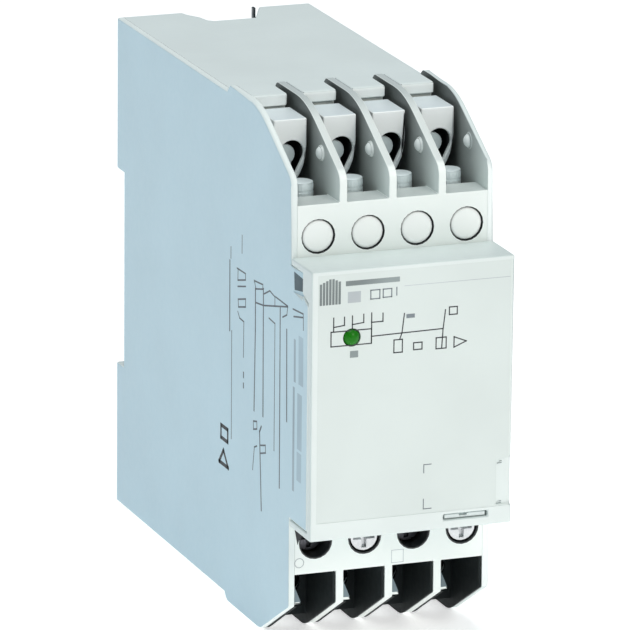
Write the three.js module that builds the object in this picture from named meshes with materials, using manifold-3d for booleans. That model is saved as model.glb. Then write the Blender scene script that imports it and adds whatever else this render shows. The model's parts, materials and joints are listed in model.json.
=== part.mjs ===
// Din rail contactor, two modules wide, with four clamp terminals above and four below.
//
// Millimetres. X is the width, Y the depth and Z points up. The front faces -Y and the rail
// lies behind the part at +Y. The origin is the centre of the face that rests on the rail.
// Heights written t are measured from the middle of the housing, up for the upper terminals
// and down for the lower ones, so one function builds both rows.

import * as THREE from 'three';
import { mergeVertices } from 'three/addons/utils/BufferGeometryUtils.js';
import Module from 'manifold-3d';

const wasm = await Module();
wasm.setup();

// ---------------------------------------------------------------- driving dimensions

const MODULE = 18;
const WIDTH = 2 * MODULE;
const WALL = 1.05;
const FIT = 0.15;
const SNUG = 0.04;
const Z_MID = 0.75;
const ROWS = { top: 1, bottom: -1 };

// Depths along Y, from the rail hooks at the back to the front plate.
const Y = { hook: 3.8, seat: 0, step: -53.2, lip: -62, face: -85, front: -95 };

// Half heights from the middle of the housing.
const HALF = { rear: 44.3, crest: 45.6, nose: 23.25, ledge: 32, axis: 26.5, chamber: 20.6 };

// Height at which the slanted terminal edge would meet the face, by row.
const CORNER = { top: 36.6, bottom: 37.5 };
const CORNER_ROUND = { top: 1.6, bottom: 0.3 };
const SLANT = { top: THREE.MathUtils.degToRad(28.3), bottom: THREE.MathUtils.degToRad(30.4) };
const STEP_RUN = 0.9;
const BEND_RUN = { top: 4.5, bottom: 1.4 };

const BAY = { count: 4, pitch: 8.8, width: 7.45 };
const FIN = BAY.pitch - BAY.width;
const SHELL = 1.4;
const LIP = { thick: 1.1, gap: 1.2, root: 1.2, apron: 0.9, drop: 2, ease: 0.3 };

const RAIL = { height: 35.5, flange: 1.4, overlap: 1.45 };
const RECESS = { drop: 2.5, floor: 1.2 };

// Plan of the rear recess as (x, depth) points from the back edge, left end to right end.
const RECESS_LEFT = [[-6.1, -1], [-5.4, 1.7], [-3.9, 4.3], [-3.4, 6.8], [-2.6, 7.6]];
const RECESS_PLAN = [...RECESS_LEFT, [5.1, 7.6], [8.9, -1]];

const NOSE = { plate: 1.8, wall: 1.2, cheek: 4.55, cheekDrop: 4.8, seam: 1.9 };
const LABEL = { left: -16.9, right: 17.4, low: -19.4, high: 23.3, thick: 0.3, sink: 0.35 };
const LED = { x: -10.86, z: 12.3, r: 1.55, rise: 0.65 };
const SLOT = { left: 5.85, right: 13.85, low: -21, high: -20 };
const THUMB = { left: 15.2, low: -19.1, high: -11.06, depth: 0.9 };

// Clamp terminal, along Y with its screw backed right out.
const SCREW = { headLong: 2, headY: -84.7, shankR: 1.7, tipY: -73.4 };
const HEAD_R = { top: 2.8, bottom: 2.45 };
const TUNNEL_R = 3;
const TRAVEL = 3;
const CLEAR_R = 1.9;
const NUT = { front: -79, back: -77.6, top: 30.4 };
const BAR = { half: 2.2, low: 22, high: 23.2, pinEnd: -58.6 };
const JAW = { half: 2.5, front: -75.4, back: -71.8, low: 23.6, high: 31.8, web: 1 };
const POST = { y: -76.6, r: 2, high: 34 };
const TONGUE = { left: -2.2, right: 0.8, front: -69.6, back: -67.6, x: -0.35, t: 36.8, r: 1.8 };
const CAGE = { half: 2.95, front: -71.2, sheet: 1, back: -63, high: 43.25, sideDepth: 4.2, flange: 0.5 };

// Right edge of a cage's front plate as (x, t) points, from its top down.
const CAGE_EDGE = [[2.95, 38.5], [2.8, 36.9], [2.45, 35.2], [1.9, 33.9], [1.1, 32.6]];
const MOUTH = { x: 0.35, t: 37.4, r: 2.15, tip: 33.5, tipHalf: 0.5, dip: 28 };

// Black comb that lines the lower bays.
const SHROUD = {
  sheet: 1,
  tooth: 3.6,
  side: 0.45,
  front: -84.9,
  wallFront: -72.1,
  wall: 0.7,
  wallHigh: 34.9,
  wallLow: 43.3,
  hole: 2.1,
};
const RIB = { start: 33.6, end: 37.4, wide: 1.5, front: -84.6, back: -82 };

// Rows whose screws are driven home: the first and third below.
const CLOSED = { top: [false, false, false, false], bottom: [true, false, true, false] };

// Magnet and contacts.
const CORE = { left: -5.4, right: 8.6, half: 21.5, leg: 4.5, outer: 17, back: -4.6, front: -30.2 };
const YOKE = { thick: 5 };
const BOBBIN = { wall: 0.8, gap: 0.3, flange: 1.2, front: -29.6, back: -10, sideRoom: 6, halfZ: 16.4 };
const AIR_GAP = 3;
const ARMATURE_THICK = 5;
const PIN = { r: 1, inset: 2 };
const CARRIER = { left: 0.6, right: 16.4, half: 9, front: -62, wall: 1.8, room: 0.6 };
const CARRIER_PLATE = { thick: 2.5, half: 7 };
const POLES = [2, 3];
const CONTACT = { face: -51.2, sheet: 1, inner: 11.4 };
const TIP = { near: 12, far: 14, thick: 0.6, half: 1.3 };
const BRIDGE = { gap: 1.95, thick: 1, reach: 14.6, half: 2, room: 0.5 };
const SPRING_SIDES = 6;
const SPRING_STEPS = 9;

const BOARD = { left: -16.7, thick: 1.6, back: -5, shoulder: -57.5, nose: -91 };
const BOARD_HALF = { back: 41, nose: 18.5 };
const CLIP = { half: 8, flange: 9.3, front: -2.4, ledge: -1.1, back: 2.8, low: -44.6, play: 0.3 };
const CLIP_WINDOW = { half: 2.4, low: -37.3, high: -24 };
const DRIVER_SLOT = { half: 3, low: 1.4, high: 3 };
const CLIP_SPRING = { r: 1.5, wire: 0.6, turns: 5, y: 0.6 };

const ROUND = 20;
const COARSE = 14;
const CURVE_STEPS = 5;

// ---------------------------------------------------------------- solids

function toSolid(geometry) {
  geometry.deleteAttribute('normal');
  geometry.deleteAttribute('uv');
  const welded = mergeVertices(geometry);
  return new wasm.Manifold(
    new wasm.Mesh({
      numProp: 3,
      vertProperties: welded.attributes.position.array,
      triVerts: welded.index.array,
    }),
  );
}

function block(x0, x1, y0, y1, z0, z1) {
  const geometry = new THREE.BoxGeometry(x1 - x0, y1 - y0, Math.abs(z1 - z0));
  geometry.translate((x0 + x1) / 2, (y0 + y1) / 2, (z0 + z1) / 2);
  return toSolid(geometry);
}

function toZ(row, t) {
  return Z_MID + ROWS[row] * t;
}

function rowBlock(row, x0, x1, y0, y1, t0, t1) {
  return block(x0, x1, y0, y1, toZ(row, t0), toZ(row, t1));
}

function rod(axis, at, r, from, to, sides = ROUND) {
  const geometry = new THREE.CylinderGeometry(r, r, to - from, sides);
  const middle = (from + to) / 2;
  if (axis === 'x') {
    geometry.rotateZ(-Math.PI / 2);
    geometry.translate(middle, at[0], at[1]);
  } else if (axis === 'y') {
    geometry.translate(at[0], middle, at[1]);
  } else {
    geometry.rotateX(Math.PI / 2);
    geometry.translate(at[0], at[1], middle);
  }
  return toSolid(geometry);
}

// Extrudes a (y, z) outline from x0 to x1.
function sidePrism(points, x0, x1) {
  const shape = new THREE.Shape(points.map(([y, z]) => new THREE.Vector2(y, z)));
  const geometry = new THREE.ExtrudeGeometry(shape, { depth: x1 - x0, bevelEnabled: false });
  const basis = new THREE.Matrix4().makeBasis(
    new THREE.Vector3(0, 1, 0),
    new THREE.Vector3(0, 0, 1),
    new THREE.Vector3(1, 0, 0),
  );
  geometry.applyMatrix4(basis);
  geometry.translate(x0, 0, 0);
  return toSolid(geometry);
}

// Extrudes an (x, z) outline from y0 to y1.
function frontPrism(points, y0, y1) {
  const shape = new THREE.Shape(points.map(([x, z]) => new THREE.Vector2(x, z)));
  const geometry = new THREE.ExtrudeGeometry(shape, { depth: y1 - y0, bevelEnabled: false });
  geometry.rotateX(Math.PI / 2);
  geometry.translate(0, y1, 0);
  return toSolid(geometry);
}

// Extrudes an (x, y) outline from z0 to z1.
function planPrism(points, z0, z1) {
  const shape = new THREE.Shape(points.map(([x, y]) => new THREE.Vector2(x, y)));
  const geometry = new THREE.ExtrudeGeometry(shape, { depth: z1 - z0, bevelEnabled: false });
  geometry.translate(0, 0, z0);
  return toSolid(geometry);
}

function joined(solids) {
  return solids.reduce((whole, next) => whole.add(next));
}

function cutAll(solid, cutters) {
  return cutters.reduce((rest, cutter) => rest.subtract(cutter), solid);
}

class Helix extends THREE.Curve {
  constructor(axis, at, radius, from, to, turns) {
    super();
    Object.assign(this, { axis, at, radius, from, to, turns });
  }

  getPoint(u) {
    const angle = u * this.turns * 2 * Math.PI;
    const across = this.at[0] + this.radius * Math.cos(angle);
    const beside = this.at[1] + this.radius * Math.sin(angle);
    const along = this.from + (this.to - this.from) * u;
    if (this.axis === 'y') {
      return new THREE.Vector3(across, along, beside);
    }
    return new THREE.Vector3(across, beside, along);
  }
}

function coilSpring(axis, at, radius, wire, from, to, turns) {
  const section = new THREE.Shape();
  section.absarc(0, 0, wire / 2, 0, 2 * Math.PI);
  const outline = new THREE.Shape(section.getSpacedPoints(SPRING_SIDES).slice(0, SPRING_SIDES));
  const path = new Helix(axis, at, radius, from + wire / 2, to - wire / 2, turns);
  const options = { steps: Math.round(turns * SPRING_STEPS), extrudePath: path, bevelEnabled: false };
  return toSolid(new THREE.ExtrudeGeometry(outline, options));
}

// ---------------------------------------------------------------- finished nodes

const FINISH = {
  shell: { color: 0xd3dede, roughness: 0.42, metalness: 0 },
  cover: { color: 0xb9cbd6, roughness: 0.45, metalness: 0 },
  label: { color: 0xdfe8e4, roughness: 0.5, metalness: 0 },
  black: { color: 0x17191a, roughness: 0.5, metalness: 0 },
  nickel: { color: 0xc9cdcf, roughness: 0.25, metalness: 1 },
  brass: { color: 0xc59a52, roughness: 0.35, metalness: 1 },
  copper: { color: 0xb5693f, roughness: 0.35, metalness: 1 },
  steel: { color: 0x9ea2a5, roughness: 0.35, metalness: 1 },
  silver: { color: 0xd8d8d4, roughness: 0.3, metalness: 1 },
  board: { color: 0x1e5a34, roughness: 0.5, metalness: 0 },
  amber: { color: 0x6b4a1c, roughness: 0.5, metalness: 0 },
  winding: { color: 0xb0602c, roughness: 0.4, metalness: 0.6 },
  green: { color: 0x148a1c, roughness: 0.2, metalness: 0 },
  blue: { color: 0x1f4f9c, roughness: 0.4, metalness: 0 },
};

function node(name, solid, finish) {
  const { vertProperties, triVerts } = solid.getMesh();
  const geometry = new THREE.BufferGeometry();
  geometry.setAttribute('position', new THREE.BufferAttribute(vertProperties, 3));
  geometry.setIndex(new THREE.BufferAttribute(triVerts, 1));
  geometry.computeVertexNormals();
  const mesh = new THREE.Mesh(geometry, new THREE.MeshStandardMaterial(FINISH[finish]));
  mesh.name = name;
  return mesh;
}

function bayX(index) {
  return (index - (BAY.count - 1) / 2) * BAY.pitch;
}

function finX(index) {
  return (index - BAY.count / 2) * BAY.pitch;
}

const BAYS = Array.from({ length: BAY.count }, (_, index) => index);
const INNER_FINS = BAYS.slice(1);
const SIDE = WIDTH / 2;
const INNER = SIDE - WALL;
const FRAME_HALF = INNER - SNUG;

// ---------------------------------------------------------------- housing

// Terminal edge of one row as (y, t) points, from the step behind the bays to the face.
function terminalEdge(row) {
  const crest = HALF.crest;
  const corner = CORNER[row];
  const rise = Math.tan(SLANT[row]);
  const bend = Y.face + (crest - corner) / rise;
  const run = BEND_RUN[row];
  const turn = CORNER_ROUND[row];
  const edge = new THREE.Path();
  edge.moveTo(Y.step, HALF.rear);
  edge.quadraticCurveTo(Y.step - STEP_RUN, crest, Y.step - 2 * STEP_RUN, crest);
  edge.lineTo(bend + run, crest);
  edge.quadraticCurveTo(bend, crest, bend - run, crest - run * rise);
  edge.lineTo(Y.face + turn, corner + turn * rise);
  edge.quadraticCurveTo(Y.face, corner, Y.face, corner - turn);
  return edge.getPoints(CURVE_STEPS).map((point) => [point.x, point.y]);
}

function onRow(row, points) {
  return points.map(([y, t]) => [y, toZ(row, t)]);
}

// Whole side outline as (y, z) points, open at the rail notch and cut back behind the nose.
function sideOutline() {
  const noseTop = HALF.nose - NOSE.wall - FIT;
  const plateBack = Y.front + NOSE.plate + FIT;
  const cheekBack = Y.front + NOSE.cheek + FIT;
  const cheekLow = HALF.nose - NOSE.cheekDrop - FIT;
  const notch = RAIL.height / 2;
  return [
    [Y.hook, toZ('top', HALF.rear)],
    ...onRow('top', terminalEdge('top')),
    [Y.face, toZ('top', noseTop)],
    [cheekBack, toZ('top', noseTop)],
    [cheekBack, toZ('top', cheekLow)],
    [plateBack, toZ('top', cheekLow - (cheekBack - plateBack) / 2)],
    [plateBack, toZ('bottom', noseTop)],
    [Y.face, toZ('bottom', noseTop)],
    ...onRow('bottom', terminalEdge('bottom')).reverse(),
    [Y.hook, toZ('bottom', HALF.rear)],
    [Y.hook, -notch],
    [Y.seat, -notch],
    [Y.seat, notch],
    [Y.hook, notch],
  ];
}

// Scooped recess beside the front cover's cheek, on the side that faces outX.
function cheekScoop(outX) {
  const depth = 0.75 * WALL * Math.sign(outX);
  const back = Y.face - 1.1;
  const front = Y.front + NOSE.cheek;
  const outline = [
    [outX, back],
    [outX, front],
    [outX - depth, front],
  ];
  const high = toZ('top', HALF.nose - NOSE.wall);
  return planPrism(outline, high - NOSE.cheek, high + FIT);
}

// Light rib beside each lower fin, seen at the left edge of a bay opening.
function bayRib(leftX) {
  const outline = [
    [leftX, toZ('bottom', RIB.start)],
    [leftX, toZ('bottom', RIB.end)],
    [leftX + RIB.wide, toZ('bottom', RIB.end)],
    [leftX + RIB.wide, toZ('bottom', RIB.end - FIT)],
  ];
  return frontPrism(outline, RIB.front, RIB.back);
}

function sideCover() {
  const overlap = 0.2;
  const plate = sidePrism(sideOutline(), -SIDE, -INNER);
  const rib = bayRib(-INNER - overlap);
  return joined([plate, rib]).subtract(cheekScoop(-SIDE));
}

function bayLip(index) {
  const left = index === 0 ? -FRAME_HALF : bayX(index) - BAY.width / 2 + FIT;
  const right = bayX(index) + BAY.width / 2 - LIP.gap;
  const upper = terminalEdge('top').filter(([y]) => y > Y.lip);
  const lower = upper.map(([y, t]) => [y, t - LIP.thick]).reverse();
  const front = Y.lip - LIP.apron;
  const apron = [
    [front + LIP.ease, HALF.crest],
    [front, HALF.crest - LIP.ease],
    [front, HALF.crest - LIP.drop],
    [Y.lip, HALF.crest - LIP.drop],
    [Y.lip, HALF.crest - LIP.thick],
  ];
  const root = Y.step + LIP.root;
  const outline = [[root, HALF.rear], ...upper, ...apron, ...lower, [root, HALF.rear - LIP.thick]];
  return sidePrism(onRow('top', outline), left, right);
}

function rearWalls() {
  const notch = RAIL.height / 2;
  const left = -FRAME_HALF;
  const right = INNER + WALL / 2;
  const solids = [block(left, right, Y.seat - SHELL, Y.seat, -notch - SHELL, notch + SHELL)];
  for (const row of Object.keys(ROWS)) {
    const sign = ROWS[row];
    const edge = toZ(row, HALF.rear);
    const wallFrom = sign * notch;
    solids.push(block(left, right, Y.hook - SHELL, Y.hook, wallFrom, edge));
    solids.push(block(left, right, Y.seat - SHELL, Y.hook, wallFrom, wallFrom + sign * SHELL));
    solids.push(rowBlock(row, left, right, Y.step, Y.hook, HALF.rear - SHELL, HALF.rear));
  }
  return solids;
}

function railHook() {
  const notch = RAIL.height / 2;
  const half = 10;
  const outline = [
    [RAIL.flange, notch + SHELL / 2],
    [RAIL.flange, notch - RAIL.overlap],
    [Y.hook - SHELL / 2, notch - RAIL.overlap],
    [Y.hook, notch - RAIL.overlap / 2],
    [Y.hook, notch + SHELL / 2],
  ];
  return sidePrism(outline, -half, half);
}

function clipGuide() {
  const wall = 1.5;
  const half = CLIP.flange + CLIP.play + wall;
  const top = -RAIL.height / 2;
  const bottom = toZ('bottom', HALF.rear);
  return block(-half, half, CLIP.front - CLIP.play - wall, Y.hook, bottom, top);
}

function clipChannel() {
  const play = CLIP.play;
  const beyond = 1;
  const top = -RAIL.height / 2 + beyond;
  const bottom = toZ('bottom', HALF.rear) - beyond;
  const front = CLIP.front - play;
  const slotHalf = CLIP.half + play;
  const slot = block(-slotHalf, slotHalf, front, Y.hook + beyond, bottom, top);
  const grooveTop = -RAIL.height / 2 - SHELL;
  const half = CLIP.flange + play;
  const groove = block(-half, half, front, CLIP.ledge + play, bottom, grooveTop);
  return slot.add(groove);
}

function springPost() {
  const half = 1.8;
  const low = CLIP_WINDOW.low + CLIP.play;
  const high = low + 1.5;
  return block(-half, half, CLIP.front - CLIP.play - 1, CLIP.back - 1, low, high);
}

function topRecess() {
  const low = toZ('top', HALF.rear - RECESS.drop);
  const high = toZ('top', HALF.rear + 1);
  return planPrism(RECESS_PLAN.map(([x, depth]) => [x, Y.hook - depth]), low, high);
}

function recessFloor() {
  const top = HALF.rear - RECESS.drop;
  const [left] = RECESS_PLAN[0];
  const [right] = RECESS_PLAN.at(-1);
  const depth = Math.max(...RECESS_PLAN.map((corner) => corner[1]));
  const front = Y.hook - depth - SHELL;
  return rowBlock('top', left - SHELL, right + SHELL, front, Y.hook, top - RECESS.floor, HALF.rear);
}

function housingBody() {
  const rightWall = sidePrism(sideOutline(), INNER, SIDE);
  const tub = joined([
    rightWall,
    ...rearWalls(),
    ...BAYS.map(bayLip),
    bayBoss(INNER),
    railHook(),
    recessFloor(),
    clipGuide(),
  ]);
  return cutAll(tub, [topRecess(), clipChannel(), cheekScoop(SIDE)]).add(springPost());
}

// Small angle of dark spring steel that stands at the right end of the rear recess.
function hookSpring() {
  const leaf = { left: 6.95, thick: 0.45, front: 2.4, back: 3.4, top: 44.5 };
  const foot = { right: 7.6, thick: 0.9 };
  const low = HALF.rear - RECESS.drop + SNUG;
  const blade = rowBlock('top', leaf.left, leaf.left + leaf.thick, leaf.front, leaf.back, low, leaf.top);
  const base = rowBlock('top', leaf.left, foot.right, leaf.front, leaf.back, low, low + foot.thick);
  return blade.add(base);
}

// ---------------------------------------------------------------- terminal blocks

function finOutline(row) {
  const flat = HALF.rear - FIT;
  const rear = Y.lip + SHELL + FIT;
  const inner = HALF.rear - 2.8;
  const edge = terminalEdge(row).filter(([y]) => y < Y.step - FIT);
  const outline = [
    [Y.step - FIT, inner],
    [Y.step - FIT, flat],
    ...edge,
    [Y.face, HALF.chamber],
    [rear, HALF.chamber],
    [rear, inner],
  ];
  return onRow(row, outline);
}

function fins(row) {
  return INNER_FINS.map((index) => {
    const middle = finX(index);
    return sidePrism(finOutline(row), middle - FIN / 2, middle + FIN / 2);
  });
}

// Low round boss on the left face of a fin or of the right wall.
function bayBoss(x) {
  const boss = { y: -76.3, t: 38.4, r: 1.3, rise: 0.4 };
  return rod('x', [boss.y, toZ('top', boss.t)], boss.r, x - boss.rise, x + boss.rise, COARSE);
}

function terminalBlock(row) {
  const plate = 2;
  const ledge = { thick: 1, back: -79.2 };
  const half = FRAME_HALF;
  const chamber = HALF.chamber;
  const rear = Y.lip + FIT + SHELL;
  const notchLow = HALF.rear - 2.7;
  const frame = [
    rowBlock(row, -half, half, Y.face, Y.face + plate, chamber, HALF.ledge),
    rowBlock(row, -half, half, Y.face, ledge.back, HALF.ledge - ledge.thick, HALF.ledge),
    rowBlock(row, -half, half, rear - SHELL, rear, chamber, HALF.rear - FIT),
    rowBlock(row, -half, half, Y.face, rear, chamber, chamber + 1),
  ];
  const tunnels = BAYS.map((index) => {
    const at = [bayX(index), toZ(row, HALF.axis)];
    return rod('y', at, TUNNEL_R, Y.face - 1, Y.face + plate + 1);
  });
  const slots = BAYS.map((index) => {
    const reach = BAR.half + FIT;
    const x = bayX(index);
    return rowBlock(row, x - reach, x + reach, rear - 2 * SHELL, rear + 1, BAR.low - FIT, BAR.high + FIT);
  });
  const notches = BAYS.map((index) => {
    const right = bayX(index) + BAY.width / 2;
    return rowBlock(row, right - LIP.gap, right, rear - 2 * SHELL, rear + 1, notchLow, HALF.rear);
  });
  return cutAll(joined([...frame, ...fins(row)]), [...tunnels, ...slots, ...notches]);
}

function upperTerminalBlock() {
  const bosses = INNER_FINS.map((index) => bayBoss(finX(index) - FIN / 2));
  return joined([terminalBlock('top'), ...bosses]);
}

// The lower fins stop short of the shroud's flat base, which runs across under them.
function lowerTerminalBlock() {
  const overlap = 0.2;
  const base = shroudBase(FIT);
  const ribs = INNER_FINS.map((index) => bayRib(finX(index) + FIN / 2 - overlap));
  return joined([terminalBlock('bottom').subtract(base), ...ribs]);
}

// Flat black sill behind the lower bays.
function shroudBase(grow = 0) {
  const front = Y.lip - 2 * FIT - grow;
  const back = Y.step - 2 * FIT + grow;
  const half = FRAME_HALF + grow;
  const near = HALF.crest - SHROUD.sheet - grow;
  return rowBlock('bottom', -half, half, front, back, near, HALF.crest + grow);
}

// Black lining of one lower bay: two sides and a wall with a wire hole, open below.
function shroudTooth(index) {
  const x = bayX(index);
  const top = HALF.ledge + FIT;
  const rim = terminalEdge('bottom').filter(([y]) => y < Y.lip && y > SHROUD.front);
  const outline = [
    [Y.lip, top],
    [Y.lip, HALF.crest],
    ...rim,
    [SHROUD.front, CORNER.bottom],
    [SHROUD.front, top],
  ];
  const solid = sidePrism(onRow('bottom', outline), x - SHROUD.tooth, x + SHROUD.tooth);
  const wallBack = SHROUD.wallFront + SHROUD.wall;
  const half = SHROUD.tooth - SHROUD.side;
  const ribLeft = x - SHROUD.tooth - FIT;
  const ribRight = ribLeft + RIB.wide + FIT;
  const ribEnd = RIB.end + FIT;
  const past = HALF.crest + 1;
  const wall = [SHROUD.wallFront - FIT, wallBack + FIT];
  return cutAll(solid, [
    rowBlock('bottom', x - half, x + half, SHROUD.front - 1, SHROUD.wallFront, top - 1, past),
    rowBlock('bottom', x - half, x + half, wallBack, Y.lip + 1, top - 1, past),
    rowBlock('bottom', x - half, x + half, ...wall, top - 1, SHROUD.wallHigh),
    rowBlock('bottom', x - half, x + half, ...wall, SHROUD.wallLow, past),
    rod('y', [x, toZ('bottom', MOUTH.t)], SHROUD.hole, ...wall),
    rowBlock('bottom', ribLeft, ribRight, SHROUD.front - 1, RIB.back + FIT, top - 1, ribEnd),
  ]);
}

function wireShroud() {
  return joined([shroudBase(), ...BAYS.map(shroudTooth)]);
}

// ---------------------------------------------------------------- front

function frontCover() {
  const half = HALF.nose;
  const plateBack = Y.front + NOSE.plate;
  const cheekBack = Y.front + NOSE.cheek;
  const noseBack = Y.face - FIT;
  const solids = [rowBlock('top', -SIDE, SIDE, Y.front, plateBack, -half, half)];
  for (const row of Object.keys(ROWS)) {
    solids.push(rowBlock(row, -SIDE, SIDE, Y.front, noseBack, half - NOSE.wall, half));
  }
  const cheek = [
    [Y.front, half],
    [cheekBack, half],
    [cheekBack, half - NOSE.cheekDrop],
    [plateBack - FIT, half - NOSE.cheekDrop - NOSE.seam / 2],
    [Y.front, half - NOSE.cheekDrop - NOSE.seam / 2],
  ];
  solids.push(sidePrism(onRow('top', cheek), -SIDE, -INNER));
  solids.push(sidePrism(onRow('top', cheek), INNER, SIDE));
  const bezel = block(LABEL.left, SIDE + 1, Y.front - 1, Y.front + LABEL.sink, LABEL.low, LABEL.high);
  const ledHole = rod('y', [LED.x, LED.z], LED.r + 2 * FIT, Y.front - 1, plateBack + 1);
  const slot = block(SLOT.left, SLOT.right, Y.front - 1, plateBack + 1, SLOT.low, SLOT.high);
  return cutAll(joined(solids), [bezel, ledHole, slot, thumbScoop()]);
}

function thumbScoop() {
  const outline = [
    [THUMB.left, Y.front],
    [THUMB.left, Y.front - 1],
    [SIDE + 1, Y.front - 1],
    [SIDE + 1, Y.front + THUMB.depth],
  ];
  return planPrism(outline, THUMB.low, THUMB.high);
}

function frontLabel() {
  const back = Y.front + LABEL.sink;
  const front = back - LABEL.thick;
  const edge = SNUG;
  const sheet = block(LABEL.left + edge, LABEL.right, front, back, LABEL.low + edge, LABEL.high - edge);
  const thumb = block(THUMB.left, SIDE, front - 1, back + 1, THUMB.low, THUMB.high);
  const ledHole = rod('y', [LED.x, LED.z], LED.r + FIT, front - 1, back + 1);
  return cutAll(sheet, [thumb, ledHole]);
}

// Snap tongue of the front cover, seen in the slot under the label.
function coverCatch() {
  const plateBack = Y.front + NOSE.plate;
  const tongue = { inset: 0.35, front: Y.front + 0.5, back: -90, base: 0.8, bulge: 0.9 };
  const groove = { left: 1, right: 0.4, low: 0.3 };
  const left = SLOT.left + tongue.inset;
  const right = SLOT.right - tongue.inset;
  const low = SLOT.low + FIT;
  const high = SLOT.high - FIT;
  const middle = (left + right) / 2;
  const blade = block(left, right, tongue.front, tongue.back, low, high);
  const baseFront = plateBack + FIT;
  const base = block(left, right, baseFront, baseFront + tongue.base, low, high + tongue.bulge);
  const gap = block(
    middle - groove.left,
    middle + groove.right,
    tongue.front - 1,
    tongue.front + tongue.base,
    low + groove.low,
    high + 1,
  );
  return blade.add(base).subtract(gap);
}

function statusLed() {
  const lead = { half: 0.25, apart: 0.9, back: -88.5 };
  const tip = Y.front - LED.rise;
  const bend = tip + LED.r;
  const flangeFront = Y.front + NOSE.plate + FIT;
  const flangeBack = flangeFront + 0.9;
  const profile = new THREE.Path();
  profile.moveTo(0, flangeBack);
  profile.lineTo(LED.r + 0.4, flangeBack);
  profile.lineTo(LED.r + 0.4, flangeFront);
  profile.lineTo(LED.r, flangeFront);
  profile.lineTo(LED.r, bend);
  profile.absarc(0, bend, LED.r, 0, -Math.PI / 2, true);
  const points = profile.getPoints(CURVE_STEPS).reverse();
  const lens = new THREE.LatheGeometry(points, COARSE);
  lens.translate(LED.x, 0, LED.z);
  const solids = [toSolid(lens)];
  const boardFace = BOARD.left + BOARD.thick + FIT;
  for (const side of [-lead.apart, lead.apart]) {
    const x = LED.x;
    const z0 = LED.z + side - lead.half;
    const z1 = LED.z + side + lead.half;
    solids.push(block(x - lead.half, x + lead.half, flangeBack - FIT, lead.back, z0, z1));
    solids.push(block(boardFace, x + lead.half, lead.back - 2 * lead.half, lead.back, z0, z1));
  }
  return joined(solids);
}

// ---------------------------------------------------------------- clamp terminals

function terminalBar(row, index) {
  const x = bayX(index);
  const carriesContact = POLES.includes(index);
  const end = carriesContact ? CONTACT.face + CONTACT.sheet : BAR.pinEnd;
  const left = x - BAR.half;
  const right = x + BAR.half;
  const solids = [
    rowBlock(row, left, right, NUT.front, end, BAR.low, BAR.high),
    rowBlock(row, left, right, NUT.front, NUT.back, BAR.low, NUT.top),
  ];
  if (carriesContact) {
    const tip = TIP.half;
    const tipFront = CONTACT.face - TIP.thick;
    solids.push(rowBlock(row, left, right, CONTACT.face, end, CONTACT.inner, BAR.high));
    solids.push(rowBlock(row, x - tip, x + tip, tipFront, end, TIP.near, TIP.far));
  }
  const thread = rod('y', [x, toZ(row, HALF.axis)], CLEAR_R, NUT.front - 1, NUT.back + 1, COARSE);
  return joined(solids).subtract(thread);
}

// Teardrop mouth outline as (x, t) points.
function mouthOutline(x) {
  const arc = new THREE.Path();
  const dip = THREE.MathUtils.degToRad(MOUTH.dip);
  arc.moveTo(-MOUTH.tipHalf, MOUTH.tip);
  arc.lineTo(MOUTH.tipHalf, MOUTH.tip);
  arc.absarc(0, MOUTH.t, MOUTH.r, -dip, Math.PI + dip);
  return arc.getPoints(2 * CURVE_STEPS).map((point) => [x + MOUTH.x + point.x, point.y]);
}

function clampCage(row, index) {
  const x = bayX(index);
  const h = CAGE.half;
  const inner = CAGE.front + CAGE.sheet;
  const under = CAGE.high - CAGE.sheet;
  const [, shoulder] = CAGE_EDGE[0];
  const rightEdge = CAGE_EDGE.map(([dx, t]) => [x + dx, t]);
  const leftEdge = CAGE_EDGE.map(([dx, t]) => [x - dx, t]).reverse();
  const plate = [[x - h, CAGE.high], [x + h, CAGE.high], ...rightEdge, ...leftEdge];
  const face = frontPrism(onRow(row, plate), CAGE.front, inner);
  const mouth = frontPrism(onRow(row, mouthOutline(x)), CAGE.front - 1, inner + 1);
  const solids = [
    face.subtract(mouth),
    rowBlock(row, x - h, x + h, CAGE.front, CAGE.back, under, CAGE.high),
    rowBlock(row, x - h, x + h, CAGE.back - CAGE.sheet, CAGE.back, BAR.high + FIT, CAGE.high),
  ];
  const sideBack = inner + CAGE.sideDepth;
  for (const edge of [x - h, x + h - CAGE.flange]) {
    solids.push(rowBlock(row, edge, edge + CAGE.flange, CAGE.front, sideBack, shoulder, CAGE.high));
  }
  return joined(solids);
}

function clampJaw(row, index) {
  const x = bayX(index);
  const dy = CLOSED[row][index] ? TRAVEL : 0;
  const web = JAW.high - JAW.web;
  const postFront = POST.y - POST.r;
  const ends = [toZ(row, web), toZ(row, POST.high)].sort((a, b) => a - b);
  const left = x + TONGUE.left;
  const right = x + TONGUE.right;
  const tongueFront = TONGUE.front + dy;
  const tongueBack = TONGUE.back + dy;
  const padAt = [x + TONGUE.x, toZ(row, TONGUE.t)];
  const postHalf = POST.r / 2;
  const solids = [
    rowBlock(row, x - JAW.half, x + JAW.half, JAW.front + dy, JAW.back + dy, JAW.low, JAW.high),
    rowBlock(row, x - postHalf, x + postHalf, postFront + dy, JAW.back + dy, web, JAW.high),
    rod('z', [x, POST.y + dy], POST.r, ends[0], ends[1]),
    rowBlock(row, left, right, JAW.back + dy - 1, tongueBack, web, JAW.high),
    rowBlock(row, left, right, tongueFront, tongueBack, web, TONGUE.t),
    rod('y', padAt, TONGUE.r, tongueFront, tongueBack),
  ];
  const socketBack = SCREW.tipY + 2 * FIT + dy;
  const socket = rod('y', [x, toZ(row, HALF.axis)], CLEAR_R, JAW.front - 1 + dy, socketBack, COARSE);
  return joined(solids).subtract(socket);
}

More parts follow.
